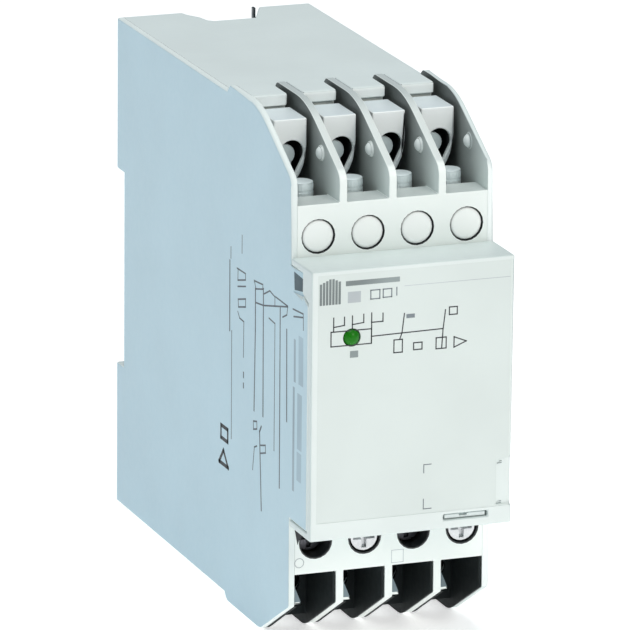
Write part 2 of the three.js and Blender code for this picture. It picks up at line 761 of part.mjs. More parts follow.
function clampScrew(row, index) {
  const at = [bayX(index), toZ(row, HALF.axis)];
  const dy = CLOSED[row][index] ? TRAVEL : 0;
  const front = SCREW.headY + dy;
  const back = front + SCREW.headLong;
  const slot = { half: 0.4, reach: 1.9, depth: 0.9 };
  const solid = rod('y', at, HEAD_R[row], front, back).add(
    rod('y', at, SCREW.shankR, back - 1, SCREW.tipY + dy, COARSE),
  );
  const [x, z] = at;
  const depth = front + slot.depth;
  return cutAll(solid, [
    block(x - slot.reach, x + slot.reach, front - 1, depth, z - slot.half, z + slot.half),
    block(x - slot.half, x + slot.half, front - 1, depth, z - slot.reach, z + slot.reach),
  ]);
}

function terminalNodes(row) {
  return BAYS.flatMap((index) => {
    const tag = `${row}_${index + 1}`;
    return [
      node(`clamp_cage_${tag}`, clampCage(row, index), 'nickel'),
      node(`clamp_screw_${tag}`, clampScrew(row, index), 'steel'),
      node(`clamp_jaw_${tag}`, clampJaw(row, index), 'nickel'),
      node(`terminal_bar_${tag}`, terminalBar(row, index), POLES.includes(index) ? 'copper' : 'brass'),
    ];
  });
}

// ---------------------------------------------------------------- magnet

const CORE_X = (CORE.left + CORE.right) / 2;
const LEG_HALF_X = (CORE.right - CORE.left) / 2;

function fixedCore() {
  const { left, right, back, half } = CORE;
  const solids = [rowBlock('top', left, right, back - YOKE.thick, back, -half, half)];
  const legs = [
    [-CORE.half, -CORE.outer],
    [-CORE.leg, CORE.leg],
    [CORE.outer, CORE.half],
  ];
  for (const [low, high] of legs) {
    solids.push(rowBlock('top', left, right, CORE.front, back, low, high));
  }
  return joined(solids);
}

function coilBox(halfX, halfZ, front, back) {
  return rowBlock('top', CORE_X - halfX, CORE_X + halfX, front, back, -halfZ, halfZ);
}

function coilBobbin() {
  const hole = BOBBIN.gap;
  const tube = BOBBIN.gap + BOBBIN.wall;
  const halfX = LEG_HALF_X + BOBBIN.sideRoom;
  const frontFlange = coilBox(halfX, BOBBIN.halfZ, BOBBIN.front, BOBBIN.front + BOBBIN.flange);
  const rearFlange = coilBox(halfX, BOBBIN.halfZ, BOBBIN.back - BOBBIN.flange, BOBBIN.back);
  const barrel = coilBox(LEG_HALF_X + tube, CORE.leg + tube, BOBBIN.front, BOBBIN.back);
  const bore = coilBox(LEG_HALF_X + hole, CORE.leg + hole, BOBBIN.front - 1, BOBBIN.back + 1);
  return joined([frontFlange, rearFlange, barrel]).subtract(bore);
}

function coilWinding() {
  const room = BOBBIN.gap + BOBBIN.wall + FIT;
  const front = BOBBIN.front + BOBBIN.flange + FIT;
  const back = BOBBIN.back - BOBBIN.flange - FIT;
  const halfX = LEG_HALF_X + BOBBIN.sideRoom - 0.5;
  const pack = coilBox(halfX, BOBBIN.halfZ - 1, front, back);
  return pack.subtract(coilBox(LEG_HALF_X + room, CORE.leg + room, front - 1, back + 1));
}

const ARMATURE_BACK = CORE.front - AIR_GAP;
const ARMATURE_FRONT = ARMATURE_BACK - ARMATURE_THICK;
const PLATE_BACK = ARMATURE_FRONT - 2 * FIT;
const PLATE_FRONT = PLATE_BACK - CARRIER_PLATE.thick;
const RETURN_SPRINGS = { left: CORE_X - 10.6, right: CORE_X + 10.6 };

function armature() {
  const { left, right, half } = CORE;
  const plate = rowBlock('top', left, right, ARMATURE_FRONT, ARMATURE_BACK, -half, half);
  const pinHole = rod('x', [ARMATURE_FRONT + PIN.inset, Z_MID], PIN.r, left - 1, right + 1, COARSE);
  return plate.subtract(pinHole);
}

const TIP_BACK = CONTACT.face - TIP.thick - BRIDGE.gap;
const BRIDGE_BACK = TIP_BACK - TIP.thick;
const BRIDGE_FRONT = BRIDGE_BACK - BRIDGE.thick;
const WINDOW_BACK = BRIDGE_BACK + FIT / 3;
const WINDOW_FRONT = CARRIER.front + CARRIER.wall;

function contactCarrier() {
  const { left, right, front, half } = CARRIER;
  const plateHalf = CARRIER_PLATE.half;
  const halfX = LEG_HALF_X + BOBBIN.sideRoom - CARRIER.room;
  const plateLeft = CORE_X - halfX;
  const plateRight = CORE_X + halfX;
  const plate = rowBlock('top', plateLeft, plateRight, PLATE_FRONT, PLATE_BACK, -plateHalf, plateHalf);
  const body = rowBlock('top', left, right, front, PLATE_FRONT + 1, -half, half);
  const windows = POLES.map((index) => {
    const x = bayX(index);
    const reach = BRIDGE.half + BRIDGE.room;
    const beyond = half + 1;
    return rowBlock('top', x - reach, x + reach, WINDOW_FRONT, WINDOW_BACK, -beyond, beyond);
  });
  return cutAll(plate.add(body), windows);
}

function contactBridge(index) {
  const x = bayX(index);
  const { half, reach } = BRIDGE;
  const solids = [rowBlock('top', x - half, x + half, BRIDGE_FRONT, BRIDGE_BACK, -reach, reach)];
  for (const row of Object.keys(ROWS)) {
    const tip = TIP.half;
    solids.push(rowBlock(row, x - tip, x + tip, BRIDGE_FRONT, TIP_BACK, TIP.near, TIP.far));
  }
  return joined(solids);
}

function contactSpring(index) {
  const spring = { r: 1.4, wire: 0.5, turns: 3.5, clear: 0.1 };
  const from = WINDOW_FRONT + spring.clear;
  const to = BRIDGE_FRONT - spring.clear;
  return coilSpring('y', [bayX(index), Z_MID], spring.r, spring.wire, from, to, spring.turns);
}

function returnSpring(side) {
  const spring = { r: 1.7, wire: 0.6, turns: 5, clear: 0.1 };
  const from = PLATE_BACK + spring.clear;
  const to = BOBBIN.front - spring.clear;
  return coilSpring('y', [RETURN_SPRINGS[side], Z_MID], spring.r, spring.wire, from, to, spring.turns);
}

// C-shaped frame behind the fixed contacts, open to the right for the carrier.
function innerFrame() {
  const frame = { left: -1.4, thick: 2, half: 21, web: 1 };
  const front = CONTACT.face + CONTACT.sheet + 2 * FIT;
  const back = front + frame.thick;
  const right = INNER - FIT;
  const plate = rowBlock('top', frame.left, right, front, back, -frame.half, frame.half);
  const room = CARRIER.half + CARRIER.room;
  const opening = frame.left + frame.web;
  return plate.subtract(rowBlock('top', opening, right + 1, front - 1, back + 1, -room, room));
}

// ---------------------------------------------------------------- electronics

function circuitBoard() {
  const halfBack = BOARD_HALF.back;
  const halfNose = BOARD_HALF.nose;
  const outline = [
    [BOARD.back, toZ('top', halfBack)],
    [BOARD.shoulder, toZ('top', halfBack)],
    [BOARD.shoulder, toZ('top', halfNose)],
    [BOARD.nose, toZ('top', halfNose)],
    [BOARD.nose, toZ('bottom', halfNose)],
    [BOARD.shoulder, toZ('bottom', halfNose)],
    [BOARD.shoulder, toZ('bottom', halfBack)],
    [BOARD.back, toZ('bottom', halfBack)],
  ];
  return sidePrism(outline, BOARD.left, BOARD.left + BOARD.thick);
}

const BOARD_FACE = BOARD.left + BOARD.thick + FIT;

function filterCapacitor() {
  const can = { r: 4, t: 32, front: -36, back: -18 };
  return rod('y', [BOARD_FACE + can.r, toZ('top', can.t)], can.r, can.front, can.back);
}

function varistor() {
  const disc = { r: 4, y: -46, t: 31, thick: 3.4 };
  return rod('x', [disc.y, toZ('top', disc.t)], disc.r, BOARD_FACE, BOARD_FACE + disc.thick);
}

function rectifier() {
  const body = { front: -40, back: -31, near: 27, far: 36, thick: 3 };
  const right = BOARD_FACE + body.thick;
  return rowBlock('bottom', BOARD_FACE, right, body.front, body.back, body.near, body.far);
}

// ---------------------------------------------------------------- rail clip

function railClip() {
  const lipTop = -RAIL.height / 2 + RAIL.overlap;
  const shelf = -RAIL.height / 2 - FIT;
  const guideTop = -RAIL.height / 2 - SHELL - CLIP.play;
  const plate = block(-CLIP.half, CLIP.half, CLIP.front, CLIP.back, CLIP.low, lipTop);
  const guide = block(-CLIP.flange, CLIP.flange, CLIP.front, CLIP.ledge, CLIP.low + 2, guideTop);
  const railRoom = block(-CLIP.half - 1, CLIP.half + 1, CLIP.front - 1, RAIL.flange, shelf, lipTop + 1);
  const through = [CLIP.front - 1, CLIP.back + 1];
  const { half, low, high } = CLIP_WINDOW;
  const springRoom = block(-half, half, ...through, low, high);
  const slot = DRIVER_SLOT;
  const driverSlot = block(-slot.half, slot.half, ...through, CLIP.low + slot.low, CLIP.low + slot.high);
  return cutAll(plate.add(guide), [railRoom, springRoom, driverSlot]);
}

function railClipSpring() {
  const clear = 0.1;
  const from = CLIP_WINDOW.low + CLIP.play + 1.5 + clear;
  const to = CLIP_WINDOW.high - clear;
  const { r, wire, turns, y } = CLIP_SPRING;
  return coilSpring('z', [0, y], r, wire, from, to, turns);
}

// ---------------------------------------------------------------- assembly

const contactor = new THREE.Group();

contactor.add(
  node('housing_body', housingBody(), 'shell'),
  node('side_cover', sideCover(), 'cover'),
  node('hook_spring', hookSpring(), 'steel'),
  node('terminal_block_top', upperTerminalBlock(), 'shell'),
  node('terminal_block_bottom', lowerTerminalBlock(), 'shell'),
  node('wire_shroud', wireShroud(), 'black'),
  node('front_cover', frontCover(), 'shell'),
  node('front_label', frontLabel(), 'label'),
  node('cover_catch', coverCatch(), 'shell'),
  node('status_led', statusLed(), 'green'),
  ...terminalNodes('top'),
  ...terminalNodes('bottom'),
  node('fixed_core', fixedCore(), 'steel'),
  node('coil_bobbin', coilBobbin(), 'amber'),
  node('coil_winding', coilWinding(), 'winding'),
  node('armature', armature(), 'steel'),
  node('contact_carrier', contactCarrier(), 'amber'),
  node('return_spring_left', returnSpring('left'), 'steel'),
  node('return_spring_right', returnSpring('right'), 'steel'),
  ...POLES.map((index, pole) => node(`contact_bridge_${pole + 1}`, contactBridge(index), 'silver')),
  ...POLES.map((index, pole) => node(`contact_spring_${pole + 1}`, contactSpring(index), 'steel')),
  node('inner_frame', innerFrame(), 'black'),
  node('circuit_board', circuitBoard(), 'board'),
  node('filter_capacitor', filterCapacitor(), 'blue'),
  node('varistor', varistor(), 'blue'),
  node('rectifier', rectifier(), 'black'),
  node('rail_clip', railClip(), 'black'),
  node('rail_clip_spring', railClipSpring(), 'steel'),
);

export default contactor;
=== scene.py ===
"""Looks of the DIN rail contactor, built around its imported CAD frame.

Places and sizes are in millimetres and turned into metres by MM where a mesh is made. X runs
across the device, -Y out of its front and Z up.
"""
import json
import math

import bmesh
import bpy
from mathutils import Matrix, Vector

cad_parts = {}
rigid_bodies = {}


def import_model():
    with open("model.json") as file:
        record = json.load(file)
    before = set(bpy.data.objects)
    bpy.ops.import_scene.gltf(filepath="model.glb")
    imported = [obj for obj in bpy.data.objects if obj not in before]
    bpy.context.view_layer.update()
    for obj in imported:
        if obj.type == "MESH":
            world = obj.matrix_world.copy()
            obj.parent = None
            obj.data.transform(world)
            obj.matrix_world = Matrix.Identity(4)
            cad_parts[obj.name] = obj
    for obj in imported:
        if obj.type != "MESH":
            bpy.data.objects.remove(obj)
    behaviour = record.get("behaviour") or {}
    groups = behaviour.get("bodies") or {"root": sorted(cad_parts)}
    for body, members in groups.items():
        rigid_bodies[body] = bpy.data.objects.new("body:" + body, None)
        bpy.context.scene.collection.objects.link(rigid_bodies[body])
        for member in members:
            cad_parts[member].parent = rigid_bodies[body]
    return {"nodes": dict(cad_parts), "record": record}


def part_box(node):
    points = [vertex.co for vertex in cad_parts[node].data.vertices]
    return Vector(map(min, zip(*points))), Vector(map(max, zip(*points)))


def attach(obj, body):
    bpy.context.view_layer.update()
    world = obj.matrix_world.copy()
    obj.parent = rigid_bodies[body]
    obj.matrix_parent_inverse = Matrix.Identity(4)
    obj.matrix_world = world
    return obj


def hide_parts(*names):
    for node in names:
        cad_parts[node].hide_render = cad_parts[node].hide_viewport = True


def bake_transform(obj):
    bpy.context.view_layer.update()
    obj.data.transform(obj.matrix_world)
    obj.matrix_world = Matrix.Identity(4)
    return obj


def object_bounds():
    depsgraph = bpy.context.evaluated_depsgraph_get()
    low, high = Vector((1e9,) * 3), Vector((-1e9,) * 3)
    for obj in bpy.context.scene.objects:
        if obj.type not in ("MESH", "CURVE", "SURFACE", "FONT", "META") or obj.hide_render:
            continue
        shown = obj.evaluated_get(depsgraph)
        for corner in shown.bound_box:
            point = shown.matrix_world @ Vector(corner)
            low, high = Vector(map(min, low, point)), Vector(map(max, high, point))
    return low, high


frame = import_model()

MM = 0.001
CAD_BOX = [list(corner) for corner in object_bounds()]
NODES = frame["nodes"]
BODIES = frame["record"]["behaviour"]["bodies"]
SLOTS = {row["node"]: row["material_slot"] for row in frame["record"]["subparts"]}
BODY_OF = {node: body for body, members in BODIES.items() for node in members}

SPRING_JOINTS = {row["node"]: (joint, row) for joint in frame["record"]["behaviour"]["joints"]
                 for row in joint.get("deforming_nodes", ())}

BAYS = (1, 2, 3, 4)
ROWS = ("top", "bottom")

# Camera: angles in degrees, lengths in metres, lens and sensor in millimetres.
VIEW = {"azimuth": -20.565, "elevation": 15.527, "roll": 0.523}
AIM = Vector((0.206, -48.0, 2.808)) * MM
CAMERA = {"sensor": 36.0, "lens": 425.25, "distance": 1.2782, "near": 0.05, "far": 50.0}

# Studio: each light's place and size in metres and its power in watts.
SKY = {"colour": (0.78, 0.90, 1.0, 1), "strength": 0.34}
LIGHT_AIM = Vector((0, -0.045, 0))
LIGHTS = {
    "key": {"place": (0.55, -1.25, 0.85), "size": 0.8, "power": 7.5, "colour": (1.0, 0.95, 0.86)},
    "top": {"place": (-0.15, -0.1, 1.3), "size": 0.9, "power": 8.4, "colour": (0.99, 1.0, 0.98)},
    "side": {"place": (-1.2, -0.35, 0.35), "size": 0.9, "power": 0.45, "colour": (0.80, 0.92, 1.0)},
}
FLOOR = {"half": 6.0, "cells": 8, "below": 0.02 * MM, "glow": 0.5}


# ---------------------------------------------------------------- camera, light and floor

def place_camera():
    """Pinhole camera fitted to the corners of the photographed outline."""
    azimuth, elevation, roll = (math.radians(VIEW[key]) for key in ("azimuth", "elevation", "roll"))
    back = Vector((math.sin(azimuth) * math.cos(elevation),
                   -math.cos(azimuth) * math.cos(elevation), math.sin(elevation)))
    right = (-back).cross(Vector((0, 0, 1))).normalized()
    up = right.cross(-back)
    turned_right = right * math.cos(roll) + up * math.sin(roll)
    turned_up = up * math.cos(roll) - right * math.sin(roll)
    camera = bpy.data.objects.new("camera", bpy.data.cameras.new("camera"))
    camera.data.sensor_width = CAMERA["sensor"]
    camera.data.lens = CAMERA["lens"]
    camera.data.clip_start = CAMERA["near"]
    camera.data.clip_end = CAMERA["far"]
    place = Matrix((turned_right, turned_up, back)).transposed().to_4x4()
    place.translation = AIM + back * CAMERA["distance"]
    camera.matrix_world = place
    bpy.context.scene.collection.objects.link(camera)
    bpy.context.scene.camera = camera


def soft_light(name, place, size, power, colour):
    """A round area light turned towards the part."""
    light = bpy.data.lights.new(name, "AREA")
    light.shape = "DISK"
    light.size = size
    light.energy = power
    light.color = colour
    lamp = bpy.data.objects.new(name, light)
    lamp.location = place
    lamp.rotation_euler = (LIGHT_AIM - Vector(place)).to_track_quat("-Z", "Y").to_euler()
    bpy.context.scene.collection.objects.link(lamp)


def light_studio():
    """Pale sky and three soft lights, as round a product on a white table."""
    world = bpy.data.worlds.new("studio")
    world.use_nodes = True
    sky = world.node_tree.nodes["Background"]
    sky.inputs["Color"].default_value = SKY["colour"]
    sky.inputs["Strength"].default_value = SKY["strength"]
    bpy.context.scene.world = world
    bpy.context.scene.view_settings.view_transform = "Standard"
    for name, light in LIGHTS.items():
        soft_light(name, **light)


def lay_floor():
    """White table just below the part, staged so that it is no part of the model."""
    bm = bmesh.new()
    cells = FLOOR["cells"]
    bmesh.ops.create_grid(bm, x_segments=cells, y_segments=cells, size=FLOOR["half"])
    mesh = bpy.data.meshes.new("studio_floor")
    bm.to_mesh(mesh)
    bm.free()
    mesh.materials.append(floor_paint())
    floor = bpy.data.objects.new("studio_floor", mesh)
    floor.location = (0, 0, CAD_BOX[0][2] - FLOOR["below"])
    bpy.context.scene.collection.objects.link(floor)


# ---------------------------------------------------------------- materials

# Noise sizes in cycles per metre: a plastic's flow shading, sheen and grain, and a metal's
# cloudy tarnish and uneven polish.
FLOW, SHEEN, GRAIN = 70, 900, 5200
TARNISH, POLISH = 420, 1500
FLOW_LOW, FLOW_HIGH = 0.32, 0.68

# Heights of the grain in metres, on mouldings, fine surfaces and prints.
MOULD_GRAIN, FINE_GRAIN, INK_GRAIN = 2.2e-6, 1.0e-6, 4.0e-7

# How squarely a face has to look along an axis before that axis's tone, painted light and shade by
# facing, starts and is complete.
TONE_START, TONE_FULL = 0.78, 0.98


class Paint:
    """One procedural material under construction."""

    def __init__(self, name):
        self.material = bpy.data.materials.new(name)
        self.material.use_nodes = True
        self.nodes = self.material.node_tree.nodes
        self.links = self.material.node_tree.links
        self.shader = self.nodes["Principled BSDF"]
        self.place = self.nodes.new("ShaderNodeTexCoord").outputs["Object"]

    def stretched(self, scale):
        mapping = self.nodes.new("ShaderNodeMapping")
        mapping.inputs["Scale"].default_value = scale
        self.links.new(self.place, mapping.inputs["Vector"])
        return mapping.outputs["Vector"]

    def noise(self, scale, detail, vector=None):
        node = self.nodes.new("ShaderNodeTexNoise")
        node.inputs["Scale"].default_value = scale
        node.inputs["Detail"].default_value = detail
        self.links.new(vector or self.place, node.inputs["Vector"])
        return node.outputs["Fac"]

    def spread(self, value, low, high, low_in=0.3, high_in=0.7):
        node = self.nodes.new("ShaderNodeMapRange")
        node.inputs["From Min"].default_value = low_in
        node.inputs["From Max"].default_value = high_in
        node.inputs["To Min"].default_value = low
        node.inputs["To Max"].default_value = high
        self.links.new(value, node.inputs["Value"])
        return node.outputs["Result"]

    def ramp(self, value, stops):
        node = self.nodes.new("ShaderNodeValToRGB")
        elements = node.color_ramp.elements
        while len(elements) < len(stops):
            elements.new(0.5)
        for element, (position, colour) in zip(elements, stops):
            element.position = position
            element.color = (*colour, 1)
        self.links.new(value, node.inputs["Fac"])
        return node.outputs["Color"]

    def axis(self, output, index):
        """One component of the object-space position or normal."""
        source = self.nodes.new("ShaderNodeTexCoord").outputs[output]
        node = self.nodes.new("ShaderNodeSeparateXYZ")
        self.links.new(source, node.inputs["Vector"])
        return node.outputs[index]

    def maths(self, operation, first, second=None):
        node = self.nodes.new("ShaderNodeMath")
        node.operation = operation
        for socket, value in zip(node.inputs, (first, second)):
            if hasattr(value, "is_output"):
                self.links.new(value, socket)
            elif value is not None:
                socket.default_value = value
        return node.outputs["Value"]

    def blend(self, factor, first, second):
        node = self.nodes.new("ShaderNodeMix")
        node.data_type = "RGBA"
        self.links.new(factor, node.inputs["Factor"])
        for socket, value in zip((node.inputs[6], node.inputs[7]), (first, second)):
            if hasattr(value, "is_output"):
                self.links.new(value, socket)
            else:
                socket.default_value = (*value, 1)
        return node.outputs[2]

    def bump(self, value, height):
        node = self.nodes.new("ShaderNodeBump")
        node.inputs["Distance"].default_value = height
        self.links.new(value, node.inputs["Height"])
        return node.outputs["Normal"]

    def set(self, **values):
        for key, value in values.items():
            socket = self.shader.inputs[key.replace("_", " ")]
            if hasattr(value, "is_output"):
                self.links.new(value, socket)
            else:
                socket.default_value = value


def tinted(colour, amount):
    """The colour made darker or lighter, but no lighter than white."""
    return tuple(min(1.0, c * amount) for c in colour)


def plastic_finish(paint, base, roughness, grain):
    """Uneven sheen and spark-eroded grain over a base colour."""
    sheen = paint.spread(paint.noise(SHEEN, 3.0), roughness - 0.05, roughness + 0.05)
    paint.set(Base_Color=base, Roughness=sheen, Normal=paint.bump(paint.noise(GRAIN, 2.0), grain))
    return paint.material


def moulded(name, colour, roughness=0.42, shade=0.03, grain=MOULD_GRAIN):
    """Injection-moulded plastic: faint flow shading, fine spark-eroded grain."""
    paint = Paint(name)
    stops = [(FLOW_LOW, tinted(colour, 1 - shade)), (FLOW_HIGH, tinted(colour, 1 + shade * 0.4))]
    return plastic_finish(paint, paint.ramp(paint.noise(FLOW, 2.0), stops), roughness, grain)


def painted_light_by_facing(name, lit_tones, grain=MOULD_GRAIN, roughness=0.42, bay_shade=None):
    """Moulded plastic with painted light and shade: a tone for each facing, told apart by the
    object-space normal.

    lit_tones starts with the plain colour and goes on with (axis, sign, colour); bay_shade is a
    (front, back, amount) range in millimetres along Y over which side faces darken as painted
    shade.
    """
    paint = Paint(name)
    flow = paint.noise(FLOW, 2.0)
    soft = [(FLOW_LOW, 0.97), (FLOW_HIGH, 1.01)]
    base = paint.ramp(flow, [(at, tinted(lit_tones[0], amount)) for at, amount in soft])
    for axis, sign, colour in lit_tones[1:]:
        tone = paint.ramp(flow, [(at, tinted(colour, amount)) for at, amount in soft])
        across = paint.axis("Normal", axis)
        facing = paint.maths("MULTIPLY", across, sign) if sign else paint.maths("ABSOLUTE", across)
        if bay_shade and axis == "X":
            front, back, darkest = bay_shade
            shade_depth = paint.spread(paint.axis("Object", "Y"), 0.0, 1.0, front * MM, back * MM)
            tone = paint.blend(shade_depth, tone, tinted(colour, darkest))
        base = paint.blend(paint.spread(facing, 0.0, 1.0, TONE_START, TONE_FULL), base, tone)
    return plastic_finish(paint, base, roughness, grain)


def metal(name, colour, roughness=0.28, brush=(400, 9000, 9000), shade=0.12, scratch=0.0000015,
          metallic=1.0):
    """Rolled or plated metal: fine draw lines, cloudy tarnish."""
    paint = Paint(name)
    cloud = paint.noise(TARNISH, 4.0)
    base = paint.ramp(cloud, [(0.3, tinted(colour, 1 - shade)), (0.7, colour)])
    lines = paint.noise(1.0, 2.0, paint.stretched(brush))
    rough = paint.spread(paint.noise(POLISH, 3.0), roughness - 0.08, roughness + 0.10)
    paint.set(Base_Color=base, Metallic=metallic, Roughness=rough)
    paint.set(Normal=paint.bump(lines, scratch))
    return paint.material


def ink(name, colour, shade):
    """Matt print; the dark and middle inks also serve for painted shade."""
    return moulded(name, colour, roughness=0.6, shade=shade, grain=INK_GRAIN)


def floor_paint():
    """Matt white that glows a little, for the photo's blank ground."""
    paint = Paint("studio_floor")
    cloud = paint.noise(3.0, 2.0)
    base = paint.ramp(cloud, [(0.3, (0.90, 0.90, 0.90)), (0.7, (0.93, 0.93, 0.93))])
    paint.set(Base_Color=base, Roughness=0.8)
    paint.set(Emission_Color=(1, 1, 1, 1), Emission_Strength=FLOOR["glow"])
    return paint.material


PAINTS = {
    "shell_light_grey": moulded("shell_light_grey", (0.74, 0.80, 0.79)),
    # The side cover's left face is blue-grey, partly its own colour and partly painted light; its
    # right face is darker as painted shade.
    "cover_blue_grey": painted_light_by_facing("cover_blue_grey", [
        (0.84, 0.90, 0.88), ("X", -1.0, (0.478, 0.645, 0.72)), ("X", 1.0, (0.46, 0.51, 0.50))]),
    "label_sheet": moulded("label_sheet", (0.72, 0.775, 0.75), roughness=0.5,
                           grain=FINE_GRAIN),
    "black_plastic": moulded("black_plastic", (0.018, 0.020, 0.022), roughness=0.38, shade=0.25),
    "clear_green": moulded("clear_green", (0.009, 0.19, 0.003), roughness=0.3, shade=0.3, grain=0),
    "nickel_plate": metal("nickel_plate", (0.98, 0.995, 0.99), roughness=0.42,
                          brush=(900, 5000, 600), shade=0.06, scratch=0.0000008, metallic=0.05),
    "steel_screw": metal("steel_screw", (0.66, 0.67, 0.68), roughness=0.3),
    "spring_steel": metal("spring_steel", (0.55, 0.56, 0.58), roughness=0.25),
    "dark_spring_steel": metal("dark_spring_steel", (0.10, 0.11, 0.12), roughness=0.4),
    "brass_bar": metal("brass_bar", (0.83, 0.62, 0.26)),
    "copper_bar": metal("copper_bar", (0.86, 0.48, 0.34)),
    "contact_silver": metal("contact_silver", (0.90, 0.90, 0.88), roughness=0.2),
    "core_steel": metal("core_steel", (0.42, 0.43, 0.45), roughness=0.4),
    "amber_nylon": moulded("amber_nylon", (0.52, 0.30, 0.08), roughness=0.45),
    "bobbin_nylon": moulded("bobbin_nylon", (0.80, 0.79, 0.74), roughness=0.5),
    "enamelled_wire": metal("enamelled_wire", (0.62, 0.22, 0.07), roughness=0.3),
    "board_green": moulded("board_green", (0.03, 0.20, 0.07), roughness=0.35),
    "sleeve_blue": moulded("sleeve_blue", (0.03, 0.08, 0.30), roughness=0.3),
    "disc_blue": moulded("disc_blue", (0.05, 0.16, 0.42), roughness=0.45),
}


# Painted shade in the terminal bays: where side faces start and end to darken, in millimetres along
# Y, and the share of the colour that is left there.
BAY_PAINTED_SHADE = (-83.5, -70.0, 0.18)

# Paints of single pieces whose look differs from their slot's. The shell and cage paints below
# carry painted light and shade by facing.
# Painted light and shade: the block's front is lightest, its sides darker and darker still further
# into the bays, and its top darkest.
TERMINAL_SHELL_PAINTED_LIGHT = painted_light_by_facing("terminal_shell_painted_light", [
    (0.92, 0.965, 0.935), ("X", 0, (0.79, 0.86, 0.83)), ("Z", 1.0, (0.56, 0.61, 0.60))],
    bay_shade=BAY_PAINTED_SHADE)
# Painted light and shade: the housing's front faces are lightest, its other faces darker, and its
# bay sides darken further in.
HOUSING_SHELL_PAINTED_LIGHT = painted_light_by_facing("housing_shell_painted_light", [
    (0.76, 0.825, 0.815), ("X", -1.0, (0.79, 0.86, 0.83)), ("Y", -1.0, (0.95, 1.0, 0.985))],
    bay_shade=BAY_PAINTED_SHADE)
# Painted light: the front cover's front faces are lighter than its other faces.
NOSE_SHELL_PAINTED_LIGHT = painted_light_by_facing("nose_shell_painted_light", [(0.66, 0.73, 0.715), ("Y", -1.0, (0.78, 0.835, 0.815))])
# Painted shade: the cage's top faces are darker and bluer than its other faces.
NICKEL_CAGE_PAINTED_SHADE = painted_light_by_facing("nickel_cage_painted_shade", [(0.96, 1.0, 0.99), ("Z", 1.0, (0.75, 0.82, 0.84))],
                    grain=FINE_GRAIN, roughness=0.36)
SATIN_NICKEL = metal("satin_nickel", (0.74, 0.82, 0.84), roughness=0.45, shade=0.06, metallic=0.2)
# Near black steel for the two screws driven home: painted shade of their tunnels.
SCREW_PAINTED_SHADE = metal("screw_painted_shade", (0.10, 0.10, 0.11), roughness=0.32)
# Near white bosses, lighter than the shaded fins round them: a painted highlight.
BOSS_PAINTED_HIGHLIGHT = moulded("boss_painted_highlight", (0.90, 0.95, 0.93), roughness=0.5, shade=0.04)
# Dark grey painted shade on the faces of the lower ribs.
RIB_PAINTED_SHADE = moulded("rib_painted_shade", (0.17, 0.225, 0.25), roughness=0.5, shade=0.3)
NOTCH_SHADE = moulded("notch_shade", (0.09, 0.13, 0.15), roughness=0.6, shade=0.35)
WHITE_CAP = moulded("white_cap", (0.97, 1.0, 0.97), roughness=0.45, shade=0.02)
# Near black for the wire shroud: painted shade in the lower bays.
SHROUD_PAINTED_SHADE = moulded("shroud_painted_shade", (0.018, 0.023, 0.024), roughness=0.6, shade=0.25)
DARK_INK_AND_SHADE = ink("dark_ink_and_shade", (0.035, 0.037, 0.042), 0.3)
INK_GREY = ink("ink_grey", (0.20, 0.23, 0.25), 0.2)
MID_INK_AND_SHADE = ink("mid_ink_and_shade", (0.27, 0.31, 0.31), 0.3)
INK_PALE = ink("ink_pale", (0.52, 0.56, 0.58), 0.1)
INK_SIDE = ink("ink_side", (0.11, 0.13, 0.15), 0.25)
INK_HAZE = ink("ink_haze", (0.40, 0.53, 0.60), 0.12)
INK_FAINT = ink("ink_faint", (0.33, 0.42, 0.48), 0.1)

# Two paints that reflect less than plastic's usual level of 0.5.
for dull, level in ((SHROUD_PAINTED_SHADE, 0.12), (PAINTS["clear_green"], 0.2)):
    dull.node_tree.nodes["Principled BSDF"].inputs["Specular IOR Level"].default_value = level


# ---------------------------------------------------------------- mesh tools

def piece(name, mesh, body, slot, paint=None, replaced=(), reach=None):
    """One shown piece, riding on a body or, with reach, fixed where it is made and on no body."""
    made = bpy.data.objects.new(name, mesh)
    bpy.context.scene.collection.objects.link(made)
    mesh.materials.clear()
    mesh.materials.append(paint or PAINTS[slot])
    if reach:
        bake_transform(made)
    else:
        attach(made, body)
    if replaced:
        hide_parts(*replaced)
    return made


SMOOTH_BELOW = 38  # degrees between faces; a sharper edge stays hard


def shade_smooth(mesh):
    """Smooth shading that keeps real edges crisp."""
    mesh.shade_smooth()
    mesh.set_sharp_from_angle(angle=math.radians(SMOOTH_BELOW))


def finish_mesh(name, bm):
    """The mesh with its faces turned outwards and its round faces shaded smooth."""
    bmesh.ops.recalc_face_normals(bm, faces=bm.faces)
    mesh = bpy.data.meshes.new(name)
    bm.to_mesh(mesh)
    bm.free()
    shade_smooth(mesh)
    return mesh


# For a part that runs along an axis: the indexes of the two axes across it, then its own.
AXES = {"x": (1, 2, 0), "y": (0, 2, 1), "z": (0, 1, 2)}


def placed(axis, at, across, beside, along):
    """Point in metres from millimetres across, beside and along the given axis."""
    first, second, third = AXES[axis]
    point = [0.0, 0.0, 0.0]
    point[first] = (at[0] + across) * MM
    point[second] = (at[1] + beside) * MM
    point[third] = along * MM
    return point


